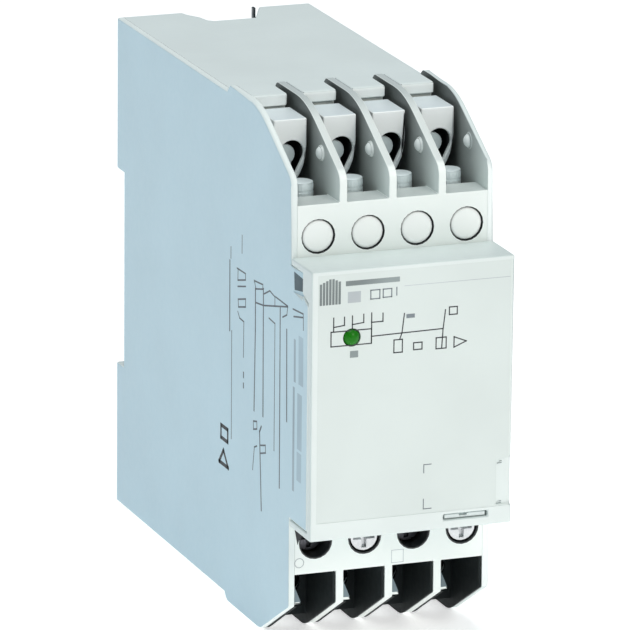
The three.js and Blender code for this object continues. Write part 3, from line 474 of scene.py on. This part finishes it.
def lathe(name, axis, at, profile, sides, ridges=0, ridge=0.0):
    """Turned part: a (radius, along) profile spun about an axis, with optional fine ridges."""
    bm = bmesh.new()
    rings = []
    for radius, along in profile:
        if radius == 0:
            rings.append([bm.verts.new(placed(axis, at, 0, 0, along))])
            continue
        ring = []
        for step in range(sides):
            angle = 2 * math.pi * step / sides
            r = radius - (ridge * (0.5 - 0.5 * math.cos(ridges * angle)) if ridges else 0)
            point = placed(axis, at, r * math.cos(angle), r * math.sin(angle), along)
            ring.append(bm.verts.new(point))
        rings.append(ring)
    closed = profile[0][0] != 0
    pairs = list(zip(rings, rings[1:])) + ([(rings[-1], rings[0])] if closed else [])
    for one, two in pairs:
        for step in range(sides):
            corners = [one[step % len(one)], one[(step + 1) % len(one)],
                       two[(step + 1) % len(two)], two[step % len(two)]]
            corners = list(dict.fromkeys(corners))
            if len(corners) > 2:
                bm.faces.new(corners)
    return finish_mesh(name, bm)


def helix_path(axis, at, radius, turns, height, steps=26):
    """Points of a coil; height tells how far along the axis it is after a number of turns."""
    count = int(turns * steps)
    path = []
    for step in range(count + 1):
        turned = turns * step / count
        angle = 2 * math.pi * turned
        path.append(Vector(placed(axis, at, radius * math.cos(angle), radius * math.sin(angle),
                                  height(turned))))
    return path


def tube(bm, path, radius, sides):
    """Adds a round wire along a path, capped at both ends."""
    rings = []
    for index, point in enumerate(path):
        before = path[max(index - 1, 0)]
        after = path[min(index + 1, len(path) - 1)]
        along = (after - before).normalized()
        if index == 0:
            side = along.orthogonal().normalized()
        side = (side - along * side.dot(along)).normalized()
        other = along.cross(side)
        rings.append([bm.verts.new(point + (side * math.cos(a) + other * math.sin(a)) * radius * MM)
                      for a in (2 * math.pi * k / sides for k in range(sides))])
    for one, two in zip(rings, rings[1:]):
        for k in range(sides):
            bm.faces.new((one[k], one[(k + 1) % sides], two[(k + 1) % sides], two[k]))
    bm.faces.new(rings[0])
    bm.faces.new(rings[-1])


def slab(bm, corners, thick, out):
    """Adds a thin raised patch over four coplanar corners."""
    low = [bm.verts.new(Vector(c) * MM) for c in corners]
    high = [bm.verts.new((Vector(c) + Vector(out) * thick) * MM) for c in corners]
    bm.faces.new(low)
    bm.faces.new(high)
    for k in range(4):
        bm.faces.new((low[k], low[(k + 1) % 4], high[(k + 1) % 4], high[k]))


def strokes(name, paths, width, surface, out, thick, paint):
    """Printed lines, and lines of painted shade: each path is a run of (u, v) points laid on a flat
    surface.
    """
    bm = bmesh.new()
    for path in paths:
        for start, end in zip(path, path[1:]):
            a, b = Vector(start), Vector(end)
            along = (b - a).normalized() * width / 2
            side = Vector((-along.y, along.x))
            a, b = a - along, b + along
            slab(bm, [surface(*p) for p in (a - side, b - side, b + side, a + side)], thick, out)
    piece(name, finish_mesh(name, bm), "housing", "label_sheet", paint)


def patch(name, corners, thick, out, paint, slot="shell_light_grey"):
    """A thin skin of painted shade over four coplanar corners."""
    bm = bmesh.new()
    slab(bm, corners, thick, out)
    piece(name, finish_mesh(name, bm), "housing", slot, paint)


# How hard edges are rounded: the steps across, and the angle in degrees and the length in
# millimetres from which an edge counts. A wide edge is rounded over WIDER times the width.
FINE_ROUND = {"segments": 2, "angle": 32, "shortest": 0.3}
WIDE_ROUND = {"segments": 3, "angle": 20, "shortest": 0.1}
WIDER = 2.2

# Clean-up of a CAD node's mesh: points this near in metres are one, faces this flat in radians
# are one, and an edge shorter than a sliver in metres is dissolved.
SAME_POINT, FLAT, SLIVER = 2e-6, 0.02, 1e-6


def bevel_edges(bm, width, chosen, segments, angle, shortest):
    """Rounds the hard edges whose middles, in millimetres, are chosen."""
    limit = math.radians(angle)
    hard = [e for e in bm.edges
            if e.is_manifold and e.calc_face_angle(0) > limit and e.calc_length() > shortest * MM
            and chosen(*((e.verts[0].co + e.verts[1].co) / 2 / MM))]
    bmesh.ops.bevel(bm, geom=hard, offset=width * MM, offset_type="OFFSET", segments=segments,
                    profile=0.5, affect="EDGES", clamp_overlap=False)


def softened(node, width, paint=None, sharp=None, wide=None):
    """A refined copy of a CAD node, with hard edges rounded as on a moulded or bent part.

    sharp and wide tell from an edge's middle whether it stays hard or is rounded more.
    """
    def plain(*middle):
        return not (sharp and sharp(*middle)) and not (wide and wide(*middle))

    bm = bmesh.new()
    bm.from_mesh(NODES[node].data)
    bmesh.ops.remove_doubles(bm, verts=bm.verts, dist=SAME_POINT)
    bmesh.ops.dissolve_limit(bm, angle_limit=FLAT, verts=bm.verts, edges=bm.edges)
    if wide:
        bevel_edges(bm, WIDER * width, wide, **WIDE_ROUND)
    bevel_edges(bm, width, plain, **FINE_ROUND)
    low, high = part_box(node)
    for vertex in bm.verts:
        vertex.co = [min(max(value, least), most)
                     for value, least, most in zip(vertex.co, low, high)]
    bmesh.ops.dissolve_degenerate(bm, dist=SLIVER, edges=bm.edges)
    mesh = bpy.data.meshes.new(f"{node}_look")
    bm.to_mesh(mesh)
    bm.free()
    shade_smooth(mesh)
    made = piece(f"{node}_look", mesh, BODY_OF[node], SLOTS[node], paint, replaced=(node,))
    made.modifiers.new("weighted", "WEIGHTED_NORMAL").keep_sharp = True


# ---------------------------------------------------------------- moulded and bent parts

# Places in millimetres.
PITCH = 8.8  # from one terminal bay to the next
MIDDLE = 0.75  # height of the plane between the two terminal rows
AXIS_T = 26.5  # from that plane to the screws' axes
HOME = {("bottom", 1): 3.0, ("bottom", 3): 3.0}  # screws that rest driven home, and how far
TUNNEL_RIM = 3.1  # radius that holds the rim of a screw's tunnel
SIDE_X = -17.993  # left face of the side cover
SEAT_LEFT, SEAT_LOW, SEAT_HIGH = -16.9, -19.4, 23.3  # rims of the front label's seat
LABEL_MIDDLE = Vector((0.25, 0, 1.95)) * MM
LABEL_GROWTH = {"x": 1.0021, "z": 1.0017}  # closes the dark gap round the label


def bay_x(bay):
    """Middle of a terminal bay, counted from the left."""
    return (bay - 2.5) * PITCH


def row_z(row, t):
    """Height of a point that lies t outward from the middle plane in its row."""
    return MIDDLE + (t if row == "top" else -t)


def seam(x, y, z):
    """Edges that butt against a neighbouring part stay sharp, so no seam opens there.

    They are the lip over the first upper bay and the line where the two shells meet.
    """
    first_lip = x < -12 and z > 44 and -72 < y < -55
    shell_line = 16.8 < abs(x) < 17.1 and (y > -62.5 or y < -83.5 or abs(z - MIDDLE) < 32.6)
    return first_lip or shell_line


def label_frame(x, y, z):
    """The shallow seat of the front label, which the label fills."""
    rims = ((x, SEAT_LEFT), (z, SEAT_LOW), (z, SEAT_HIGH))
    return y < -94.5 and any(abs(value - rim) < 0.1 for value, rim in rims)


def outer_front(x, y, z):
    """Upper front half of a side wall's outer rim, which is rounded off more."""
    return abs(x) > 17.5 and -85.5 < y < -56 and z - MIDDLE > 23.5


def block_end(x, y, z):
    """The block's ends against the walls, and its screw tunnels' rims, which the black shade
    sleeves cover.
    """
    return abs(x) > 16.8 or (y < -82.9 and abs(abs(z - MIDDLE) - AXIS_T) < TUNNEL_RIM)


# Width of the rounding on each node's edges, in millimetres.
SOFT = {"housing_body": 0.3, "side_cover": 0.3, "front_cover": 0.3, "terminal_block_top": 0.16,
        "terminal_block_bottom": 0.16, "wire_shroud": 0.12, "rail_clip": 0.25,
        "front_label": 0.02, "cover_catch": 0.12, "hook_spring": 0.08, "fixed_core": 0.3,
        "armature": 0.3, "contact_carrier": 0.3, "coil_bobbin": 0.2, "inner_frame": 0.2,
        "circuit_board": 0.1, "rectifier": 0.3, "contact_bridge_1": 0.1, "contact_bridge_2": 0.1}
SPECIAL = {"housing_body": {"sharp": seam, "wide": outer_front, "paint": HOUSING_SHELL_PAINTED_LIGHT},
           "side_cover": {"sharp": seam, "wide": outer_front},
           "front_cover": {"paint": NOSE_SHELL_PAINTED_LIGHT, "sharp": label_frame},
           "wire_shroud": {"paint": SHROUD_PAINTED_SHADE},
           "terminal_block_top": {"sharp": block_end, "paint": TERMINAL_SHELL_PAINTED_LIGHT},
           "terminal_block_bottom": {"sharp": block_end, "paint": TERMINAL_SHELL_PAINTED_LIGHT}}
CLAMP_PARTS = {"clamp_cage": (0.22, NICKEL_CAGE_PAINTED_SHADE), "clamp_jaw": (0.12, SATIN_NICKEL),
               "clamp_screw": (0.1, None), "terminal_bar": (0.08, None)}
for row in ROWS:
    for bay in BAYS:
        for part, (width, paint) in CLAMP_PARTS.items():
            SOFT[f"{part}_{row}_{bay}"] = width
            SPECIAL[f"{part}_{row}_{bay}"] = {"paint": paint}
# The two screws driven home are painted near black as painted shade.
for row, bay in HOME:
    SPECIAL[f"clamp_screw_{row}_{bay}"] = {"paint": SCREW_PAINTED_SHADE}


def dress_frame():
    """Every node that keeps its CAD shape, with its edges rounded."""
    for node, width in SOFT.items():
        softened(node, width, **SPECIAL.get(node, {}))
    for vertex in bpy.data.objects["front_label_look"].data.vertices:
        for axis, growth in LABEL_GROWTH.items():
            middle = getattr(LABEL_MIDDLE, axis)
            setattr(vertex.co, axis, middle + (getattr(vertex.co, axis) - middle) * growth)
    for vertex in bpy.data.objects["side_cover_look"].data.vertices:
        vertex.co.x = max(vertex.co.x, SIDE_X * MM)


# ---------------------------------------------------------------- clamp terminals

# Places in millimetres; along a row they are measured from the middle plane outwards.
COLLAR_Y, COLLAR_FOOT, COLLAR_TIP = -76.6, 30.9, 34.0
COLLAR_RIDGES, COLLAR_RIDGE = 24, 0.05
COLLAR_LOW = ((0, 0), (2.0, 0), (2.06, 0.3))  # (radius, rise) from the foot
COLLAR_HIGH = ((2.06, -1.7), (1.88, -1.5), (2.06, -1.3), (2.06, -0.5), (1.96, -0.2),
               (1.72, 0), (1.3, 0.06), (0, 0.08))  # (radius, rise) from the tip
THREAD_RADIUS, THREAD_WIRE, THREAD_TURNS = 1.66, 0.18, 14
THREAD_START, THREAD_LENGTH = -82.2, 8.6
CAP_OFFSET = 0.05  # the closing discs sit a little off their screws' axes
CAP_OUTLINE = ((0, -84.98), (1.4, -84.965), (2.2, -84.92), (2.56, -84.85), (2.7, -84.72),
               (2.74, -84.5), (2.74, -84.2), (2.64, -84.2), (2.6, -84.66), (0, -84.68))
# Black sleeves in the screw tunnels and black channels in the cages are painted shade.
TUNNEL_OUTER, TUNNEL_FRONT, TUNNEL_BACK = 2.99, -84.97, -79.15
TUNNEL_INNER = {"top": 2.87, "bottom": 2.7}
LINER_FRONT, LINER_FLOOR, LINER_END, LINER_FOOT = -70.1, -64.3, -64.06, 33.0
LINER_OUTER, LINER_INNER = (2.4, 42.15), (2.28, 42.0)  # half width, and height of the roof
BOSS_RADIUS, BOSS_HEIGHT, BOSS_SUNK = 1.2, 1.1, 0.1
BOSS_Y, BOSS_T = -76.3, 38.4
BOSS_X = (-9.475, -0.675, 8.125, 16.95)  # left faces of the fins and of the right wall


def jaw_collar(row, bay):
    """Ridged round collar over the jaw's post."""
    outward = 1 if row == "top" else -1
    foot, tip = row_z(row, COLLAR_FOOT), row_z(row, COLLAR_TIP)
    profile = [(radius, foot + rise * outward) for radius, rise in COLLAR_LOW]
    profile += [(radius, tip + rise * outward) for radius, rise in COLLAR_HIGH]
    at = (bay_x(bay), COLLAR_Y + HOME.get((row, bay), 0.0))
    name = f"jaw_collar_{row}_{bay}"
    mesh = lathe(name, "z", at, profile, 96, COLLAR_RIDGES, COLLAR_RIDGE)
    piece(name, mesh, BODY_OF[f"clamp_jaw_{row}_{bay}"], "nickel_plate", SATIN_NICKEL)


def screw_thread(row, bay):
    """Helical ridge of the clamp screw."""
    start = HOME.get((row, bay), 0.0) + THREAD_START
    at = (bay_x(bay), row_z(row, AXIS_T))
    path = helix_path("y", at, THREAD_RADIUS, THREAD_TURNS,
                      lambda turned: start + THREAD_LENGTH * turned / THREAD_TURNS, 22)
    bm = bmesh.new()
    tube(bm, path, THREAD_WIRE, 6)
    name = f"screw_thread_{row}_{bay}"
    piece(name, finish_mesh(name, bm), BODY_OF[f"clamp_screw_{row}_{bay}"], "steel_screw")


def screw_cap(bay):
    """Domed white closing disc on an upper screw's head."""
    at = (bay_x(bay) - CAP_OFFSET, row_z("top", AXIS_T) + CAP_OFFSET)
    name = f"screw_cap_{bay}"
    piece(name, lathe(name, "y", at, CAP_OUTLINE, 64), BODY_OF[f"clamp_screw_top_{bay}"],
          "shell_light_grey", WHITE_CAP)


def tunnel_shade_sleeve(row, bay):
    """Black sleeve in a screw's tunnel, with a small chamfer at its mouth: painted shade that
    darkens the tunnel.
    """
    inner = TUNNEL_INNER[row]
    profile = [(TUNNEL_OUTER, TUNNEL_FRONT), (TUNNEL_OUTER, TUNNEL_BACK), (inner, TUNNEL_BACK),
               (inner, -84.9), (inner + 0.06, TUNNEL_FRONT)]
    name = f"tunnel_shade_sleeve_{row}_{bay}"
    mesh = lathe(name, "y", (bay_x(bay), row_z(row, AXIS_T)), profile, 64)
    piece(name, mesh, "housing", "black_plastic")


def cage_shade_channel(row, bay):
    """Black channel inside a clamp cage, behind the wire mouth: painted shade that darkens the
    cage's inside.
    """
    x = bay_x(bay)
    outer, inner = ([(x - half, LINER_FOOT), (x - half, roof), (x + half, roof),
                     (x + half, LINER_FOOT)] for half, roof in (LINER_OUTER, LINER_INNER))
    bm = bmesh.new()
    rings = []
    for outline, y in ((outer, LINER_FRONT), (outer, LINER_END), (inner, LINER_FLOOR),
                       (inner, LINER_FRONT)):
        rings.append([bm.verts.new(Vector((px, y, row_z(row, t))) * MM) for px, t in outline])
    for one, two in ((rings[0], rings[1]), (rings[2], rings[3]), (rings[3], rings[0])):
        for k in range(3):
            bm.faces.new((one[k], one[k + 1], two[k + 1], two[k]))
    bm.faces.new([ring[0] for ring in rings])
    bm.faces.new([ring[3] for ring in rings])
    bm.faces.new(rings[1])
    bm.faces.new(rings[2])
    bm.faces.new((rings[1][0], rings[1][3], rings[2][3], rings[2][0]))
    name = f"cage_shade_channel_{row}_{bay}"
    piece(name, finish_mesh(name, bm), "housing", "black_plastic")


def bay_boss(index, x):
    """Soft round boss on a fin's left face, with its back sunk into the fin, painted near white as
    a painted highlight.
    """
    back = x + BOSS_SUNK
    dome = [(BOSS_RADIUS * math.sin(a), back - BOSS_HEIGHT * math.cos(a))
            for a in (math.pi * k / 20 for k in range(1, 11))]
    profile = [(0, back - BOSS_HEIGHT)] + dome + [(0, back)]
    name = f"bay_boss_{index}"
    mesh = lathe(name, "x", (BOSS_Y, row_z("top", BOSS_T)), profile, 48)
    piece(name, mesh, "housing", "shell_light_grey", BOSS_PAINTED_HIGHLIGHT)


def dress_terminals():
    """What the looks add in and round the eight clamps."""
    for row in ROWS:
        for bay in BAYS:
            jaw_collar(row, bay)
            screw_thread(row, bay)
            tunnel_shade_sleeve(row, bay)
            cage_shade_channel(row, bay)
    for bay in BAYS:
        screw_cap(bay)
    for index, x in enumerate(BOSS_X, 1):
        bay_boss(index, x)


# ---------------------------------------------------------------- springs, coil and small parts

def smooth_spring(node, axis, wire, turns):
    """Round-wire coil with closed ends between the two bodies it pushes apart, fixed where it is
    made.
    """
    low, high = (Vector(corner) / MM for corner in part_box(node))
    first, second, third = AXES[axis]
    at = ((low[first] + high[first]) / 2, (low[second] + high[second]) / 2)
    radius = (high[first] - low[first]) / 2 - wire / 2
    start, length = low[third] + wire / 2, high[third] - low[third] - wire
    lead, closed = 0.8, 0.6 * wire
    total = turns + lead

    def height(turned):
        if turned < lead:
            return start + closed * turned / lead
        if turned > total - lead:
            return start + length - closed * (total - turned) / lead
        return start + closed + (length - 2 * closed) * (turned - lead) / (total - 2 * lead)

    bm = bmesh.new()
    tube(bm, helix_path(axis, at, radius, total, height), wire / 2, 14)
    joint, row = SPRING_JOINTS[node]
    fixed_end = row[f"fixed_end_{axis}_m"]
    ends = [placed(axis, at, 0, 0, along) for along in (low[third], high[third])]
    if abs(fixed_end - ends[1][third]) < abs(fixed_end - ends[0][third]):
        ends.reverse()
    name = f"{node}_look"
    piece(name, finish_mesh(name, bm), (joint["parent"], joint["child"]), SLOTS[node],
          replaced=(node,), reach=ends)


def rounded_rectangle(half_x, half_z, radius, steps=6):
    """Points round a rectangle about the origin, with each corner as an arc."""
    corners = [(1, 1, 0), (-1, 1, 90), (-1, -1, 180), (1, -1, 270)]
    points = []
    for sign_x, sign_z, first in corners:
        for step in range(steps + 1):
            angle = math.radians(first + 90 * step / steps)
            points.append((sign_x * (half_x - radius) + radius * math.cos(angle),
                           sign_z * (half_z - radius) + radius * math.sin(angle)))
    return points


WINDING_TURNS, WINDING_SAMPLES = 34, 4  # visible wires along the coil, and rings to each
WINDING_GROOVE, WINDING_CORNER = 0.24, 3.0
WINDING_BORE = (8.3, 5.8, 0.5)  # half width, half height and corner radius


def wound_coil():
    """Layer of enamelled wire turns round a plain bore."""
    low, high = (Vector(corner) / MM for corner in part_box("coil_winding"))
    middle = (low + high) / 2
    half = (high - low) / 2
    count = WINDING_TURNS * WINDING_SAMPLES
    outlines = []
    for step in range(count + 1):
        y = low.y + (high.y - low.y) * step / count
        sink = WINDING_GROOVE * (1 - abs(math.sin(math.pi * step / WINDING_SAMPLES)))
        outlines.append((y, rounded_rectangle(half.x - sink, half.z - sink, WINDING_CORNER)))
    outlines += [(y, rounded_rectangle(*WINDING_BORE)) for y in (high.y, low.y)]
    bm = bmesh.new()
    rings = [[bm.verts.new(Vector((middle.x + x, y, middle.z + z)) * MM) for x, z in outline]
             for y, outline in outlines]
    for one, two in zip(rings, rings[1:] + rings[:1]):
        for k in range(len(one)):
            after = (k + 1) % len(one)
            bm.faces.new((one[k], one[after], two[after], two[k]))
    piece("coil_winding_look", finish_mesh("coil_winding_look", bm), BODY_OF["coil_winding"],
          SLOTS["coil_winding"], replaced=("coil_winding",))


# The lamp's axis, radii and depths in millimetres; RIM_OUTLINE is the collar round its dome.
LAMP_X, LAMP_Z = -10.86, 12.3
LAMP_RADIUS, FLANGE_RADIUS = 1.55, 1.95
LAMP_TIP, LAMP_SHOULDER, LAMP_FLANGE, LAMP_BACK = -95.65, -94.1, -93.05, -92.15
RIM_OUTLINE = ((1.84, -94.955), (1.84, -93.4), (1.57, -93.4), (1.57, -94.955))
LEAD_RADIUS, LEAD_SPREAD = 0.22, 0.9
# A lead's way towards the circuit board: x from the lamp's axis, and y.
LEAD_ROUTE = ((0, -92.25), (0, -89.4), (-0.2, -88.9), (-0.7, -88.75), (-4.04, -88.75))


def status_lamp():
    """Green dome with its flange and two bent leads."""
    at = (LAMP_X, LAMP_Z)
    dome = [(0, LAMP_TIP)]
    for step in range(1, 13):
        angle = math.radians(90 * step / 12)
        dome.append((LAMP_RADIUS * math.sin(angle), LAMP_SHOULDER - LAMP_RADIUS * math.cos(angle)))
    profile = dome + [(LAMP_RADIUS, LAMP_FLANGE), (FLANGE_RADIUS, LAMP_FLANGE),
                      (FLANGE_RADIUS, LAMP_BACK), (0, LAMP_BACK)]
    piece("status_led_look", lathe("status_led_look", "y", at, profile, 56),
          BODY_OF["status_led"], SLOTS["status_led"], replaced=("status_led",))
    rim = lathe("status_led_rim", "y", at, RIM_OUTLINE, 56)
    piece("status_led_rim", rim, "housing", "label_sheet")
    bm = bmesh.new()
    for side in (-LEAD_SPREAD, LEAD_SPREAD):
        path = [Vector((LAMP_X + x, y, LAMP_Z + side)) * MM for x, y in LEAD_ROUTE]
        tube(bm, path, LEAD_RADIUS, 8)
    piece("status_led_leads", finish_mesh("status_led_leads", bm), "housing", "spring_steel")


def turned_component(node, axis, edge, groove):
    """Round component with rounded rims and a rolled groove."""
    low, high = (Vector(corner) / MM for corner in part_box(node))
    first, second, third = AXES[axis]
    at = ((low[first] + high[first]) / 2, (low[second] + high[second]) / 2)
    radius = (high[second] - low[second]) / 2
    start, end = low[third], high[third]
    cut = edge * 0.3
    profile = [(0, start), (radius - edge, start), (radius - cut, start + cut),
               (radius, start + edge)]
    if groove:
        rim = start + edge
        profile += [(radius, rim + groove), (radius - groove, rim + 2 * groove),
                    (radius, rim + 3 * groove)]
    profile += [(radius, end - edge), (radius - cut, end - cut), (radius - edge, end), (0, end)]
    name = f"{node}_look"
    piece(name, lathe(name, axis, at, profile, 56), BODY_OF[node], SLOTS[node], replaced=(node,))


def dress_inside():
    """The nodes that are rebuilt with their true round shapes."""
    for pole in (1, 2):
        smooth_spring(f"contact_spring_{pole}", "y", 0.5, 3.5)
    for side in ("left", "right"):
        smooth_spring(f"return_spring_{side}", "y", 0.6, 5)
    smooth_spring("rail_clip_spring", "z", 0.6, 5)
    wound_coil()
    turned_component("filter_capacitor", "y", 0.5, 0.25)
    turned_component("varistor", "x", 0.6, 0.0)
    status_lamp()


# ---------------------------------------------------------------- printed marks

LABEL_Y, BLOCK_Y = -94.95, -85.0  # printed faces of the front label and the lower block
FRONT, LEFT = (0, -1, 0), (-1, 0, 0)  # the way that a print stands out from its face


def on_label(x, z):
    return (x, LABEL_Y, z)


def on_scoop(x, z):
    """The thumb scoop's floor at the label's right edge, which falls 0.9 mm over 2.8 mm."""
    return (x, -94.998 + (x - 15.2) * 0.9 / 2.8, z)


def on_block(x, z):
    return (x, BLOCK_Y, z)


def on_side(y, z):
    return (SIDE_X, y, z)


def box_path(u0, u1, v0, v1):
    return [(u0, v0), (u1, v0), (u1, v1), (u0, v1), (u0, v0)]


def print_label():
    """Contact diagram and generic marks on the front label, without any lettering, and painted
    shade at the ends of the thumb scoop.
    """
    diagram = [
        box_path(-14.55, -7.4, 11.0, 13.5),
        [(-14.1, 15.9), (-14.1, 13.5)], [(-14.1, 14.3), (-12.2, 14.5), (-12.2, 15.9)],
        [(-10.8, 16.0), (-10.8, 13.8)], [(-10.8, 14.5), (-8.8, 14.7), (-8.8, 16.1)],
        [(-7.4, 16.2), (-7.4, 11.0)], [(-7.4, 14.6), (-5.4, 14.6), (-5.4, 16.0)],
        [(-7.3, 12.2), (5.3, 12.4)],
        [(-1.6, 15.6), (-2.0, 12.3), (-2.4, 11.2)],
        [(5.7, 15.6), (5.3, 12.2), (5.1, 9.0)],
        box_path(-3.4, -1.9, 9.0, 11.2), box_path(0.1, 1.6, 9.2, 10.4),
        box_path(6.4, 7.8, 14.7, 16.0), box_path(4.1, 5.9, 9.0, 10.9),
        [(7.3, 9.0), (9.5, 9.9), (7.3, 10.8), (7.3, 9.0)],
    ]
    corner_marks = [[(3.5, -10.9), (2.2, -10.9), (2.2, -12.3)],
                    [(2.2, -16.9), (2.2, -18.6), (3.6, -18.6)]]
    emblem = [[(x, 18.4), (x, 22.5 - 0.25 * abs(k - 3.5))]
              for k, x in ((k, -16.4 + 0.55 * k) for k in range(7))]
    hatch = [box_path(-7.6, -6.0, 18.6, 20.1), box_path(-5.4, -3.9, 18.7, 20.1),
             [(-3.0, 20.2), (-3.0, 18.9)]]
    for name, paths, width, thick, paint in (
            ("label_diagram", diagram, 0.2, 0.015, DARK_INK_AND_SHADE),
            ("label_points", [[(-0.9, 15.1), (-0.1, 15.1)]], 0.7, 0.014, INK_GREY),
            ("label_corner_marks", corner_marks, 0.16, 0.014, INK_GREY),
            ("label_rule", [[(-1.6, 20.35), (17.2, 20.35)]], 0.09, 0.012, INK_PALE),
            ("label_bar", [[(-11.6, 21.6), (-2.9, 21.6)]], 0.85, 0.013, MID_INK_AND_SHADE),
            ("label_emblem", emblem, 0.42, 0.012, MID_INK_AND_SHADE),
            ("label_tile", [[(-10.7, 19.2), (-10.3, 19.2)]], 1.9, 0.012, INK_PALE),
            ("label_hatch", hatch, 0.2, 0.013, INK_GREY),
            ("label_lamp_mark", [[(-10.6, 9.4), (-10.3, 9.4)]], 1.15, 0.013, MID_INK_AND_SHADE)):
        strokes(name, paths, width, on_label, FRONT, thick, paint)
    # Lines of painted shade at the upper and lower ends of the thumb scoop.
    scoop_end_shade = [[(15.4 + 0.5 * k, z + 0.3 * k), (17.8, z + 0.3 * k)]
            for z in (-11.9, -18.9) for k in range(3)]
    strokes("label_scoop_end_shade", scoop_end_shade, 0.14, on_scoop, FRONT, 0.012, MID_INK_AND_SHADE)


def shade_notch():
    """Painted shade on the slanted floor of the scoop beside the front cover's cheek."""
    lip_x, lip_y, slope = -17.997, -86.1, 0.181
    outline = ((-86.4, 22.0), (-90.25, 21.2), (-90.25, 19.3), (-86.6, 18.9))
    corners = [(lip_x + (lip_y - y) * slope, y, z) for y, z in outline]
    patch("cheek_notch_shade", corners, 0.01, LEFT, NOTCH_SHADE, "cover_blue_grey")


def print_side():
    """Generic connection sketch on the left side."""
    fine = [
        [(-56.3, 3.8), (-56.4, -15.2)], [(-61.2, 21.8), (-61.2, 18.8)],
        [(-55.7, 18.4), (-55.7, 16.5)],
        [(-58.8, 15.5), (-63.0, 15.6), (-63.0, 14.5), (-59.2, 13.5), (-59.3, 15.5)],
        [(-59.2, 12.4), (-63.1, 13.4)],
        [(-59.4, 10.2), (-63.1, 11.2), (-63.1, 9.8), (-59.6, 8.9), (-59.4, 10.2)],
        [(-59.3, 8.0), (-60.2, 7.1), (-62.3, 7.0), (-62.2, 0.8)],
        [(-67.3, 15.5), (-71.5, 15.9), (-71.5, 15.1), (-68.2, 14.3), (-67.3, 15.5)],
        [(-72.0, 14.4), (-74.9, 15.7), (-77.4, 15.3), (-77.4, 13.7)],
        [(-77.8, 15.4), (-83.6, 15.3)],
        [(-68.2, 11.9), (-72.0, 12.4), (-83.6, 15.2), (-83.2, 13.7), (-81.2, 12.8)],
        [(-74.6, 10.9), (-77.5, 10.7), (-77.5, -11.4)],
        [(-86.1, 15.5), (-91.0, 15.9), (-91.1, 13.2)], [(-86.5, 14.3), (-91.0, 15.3)],
        [(-67.3, -9.1), (-69.0, -8.7), (-69.1, -10.0), (-67.4, -10.5), (-67.3, -9.1)],
        [(-67.1, -17.7), (-67.9, -13.5), (-69.1, -13.0)],
        [(-70.8, -12.4), (-73.3, -11.7), (-73.4, -13.0), (-70.8, -13.8)],
    ]
    bold = [
        [(-55.2, 15.9), (-55.3, 3.7)], [(-67.9, 14.2), (-68.0, 7.1), (-67.6, -7.1)],
        [(-71.8, 15.2), (-72.0, -6.9)], [(-80.0, 14.1), (-80.2, -17.1)],
        [(-83.2, 11.1), (-83.5, -4.6)], [(-71.2, -9.0), (-70.4, -10.1), (-71.5, -23.6)],
        [(-62.3, -2.0), (-62.3, -2.7)], [(-62.3, -3.9), (-62.3, -4.5)],
    ]
    edges = [[(-87.1, 10.1), (-87.2, 3.6)], [(-86.8, 1.8), (-86.8, -15.4)]]
    bars = [[(-90.0, 10.6), (-90.1, 4.4)], [(-89.6, 0.6), (-89.6, -6.9)],
            [(-89.5, -9.6), (-89.5, -12.4)]]
    handling = [box_path(-54.6, -51.2, -16.4, -14.2),
                [(-50.4, -20.9), (-52.5, -18.4), (-54.9, -20.9), (-50.4, -20.9)]]
    for name, paths, width, thick, paint in (
            ("side_sketch_fine", fine, 0.28, 0.004, INK_SIDE),
            ("side_sketch_bold", bold, 0.44, 0.005, INK_SIDE),
            ("side_sketch_edges", edges, 0.9, 0.003, INK_FAINT),
            ("side_sketch_bars", bars, 2.2, 0.003, INK_HAZE),
            ("side_handling_marks", handling, 0.7, 0.006, DARK_INK_AND_SHADE)):
        strokes(name, paths, width, on_side, LEFT, thick, paint)


def shade_lower_front():
    """Painted shade on the rib faces at the lower mouths and in the corner scoop, and pale lines
    that draw the small moulded marks above them.
    """
    for bay in BAYS:
        left = bay_x(bay) - 3.72
        outline = ((0.04, 33.9), (0.04, 36.9), (1.28, 36.9), (0.66, 35.35))
        corners = [(left + x, -84.6, row_z("bottom", t)) for x, t in outline]
        patch(f"rib_shade_{bay}", corners, 0.01, FRONT, RIB_PAINTED_SHADE)
    # A painted shadow in the corner scoop beside the first lower tunnel.
    scoop = ((-16.95, -23.3), (-15.15, -23.3), (-16.15, -25.2), (-16.45, -26.0))
    patch("corner_scoop_shade", [on_block(x, z) for x, z in scoop], 0.008, FRONT, DARK_INK_AND_SHADE)
    ring = [(0.8 * math.cos(a) - 16.1, 0.8 * math.sin(a) - 29.2)
            for a in (2 * math.pi * k / 20 for k in range(21))]
    strokes("corner_ring_mark", [ring], 0.12, on_block, FRONT, 0.006, INK_PALE)
    square = box_path(0.5, 2.6, -30.8, -28.6)
    strokes("block_square_mark", [square], 0.1, on_block, FRONT, 0.006, INK_PALE)


place_camera()
light_studio()
lay_floor()
dress_frame()
dress_terminals()
dress_inside()
print_label()
print_side()
shade_notch()
shade_lower_front()
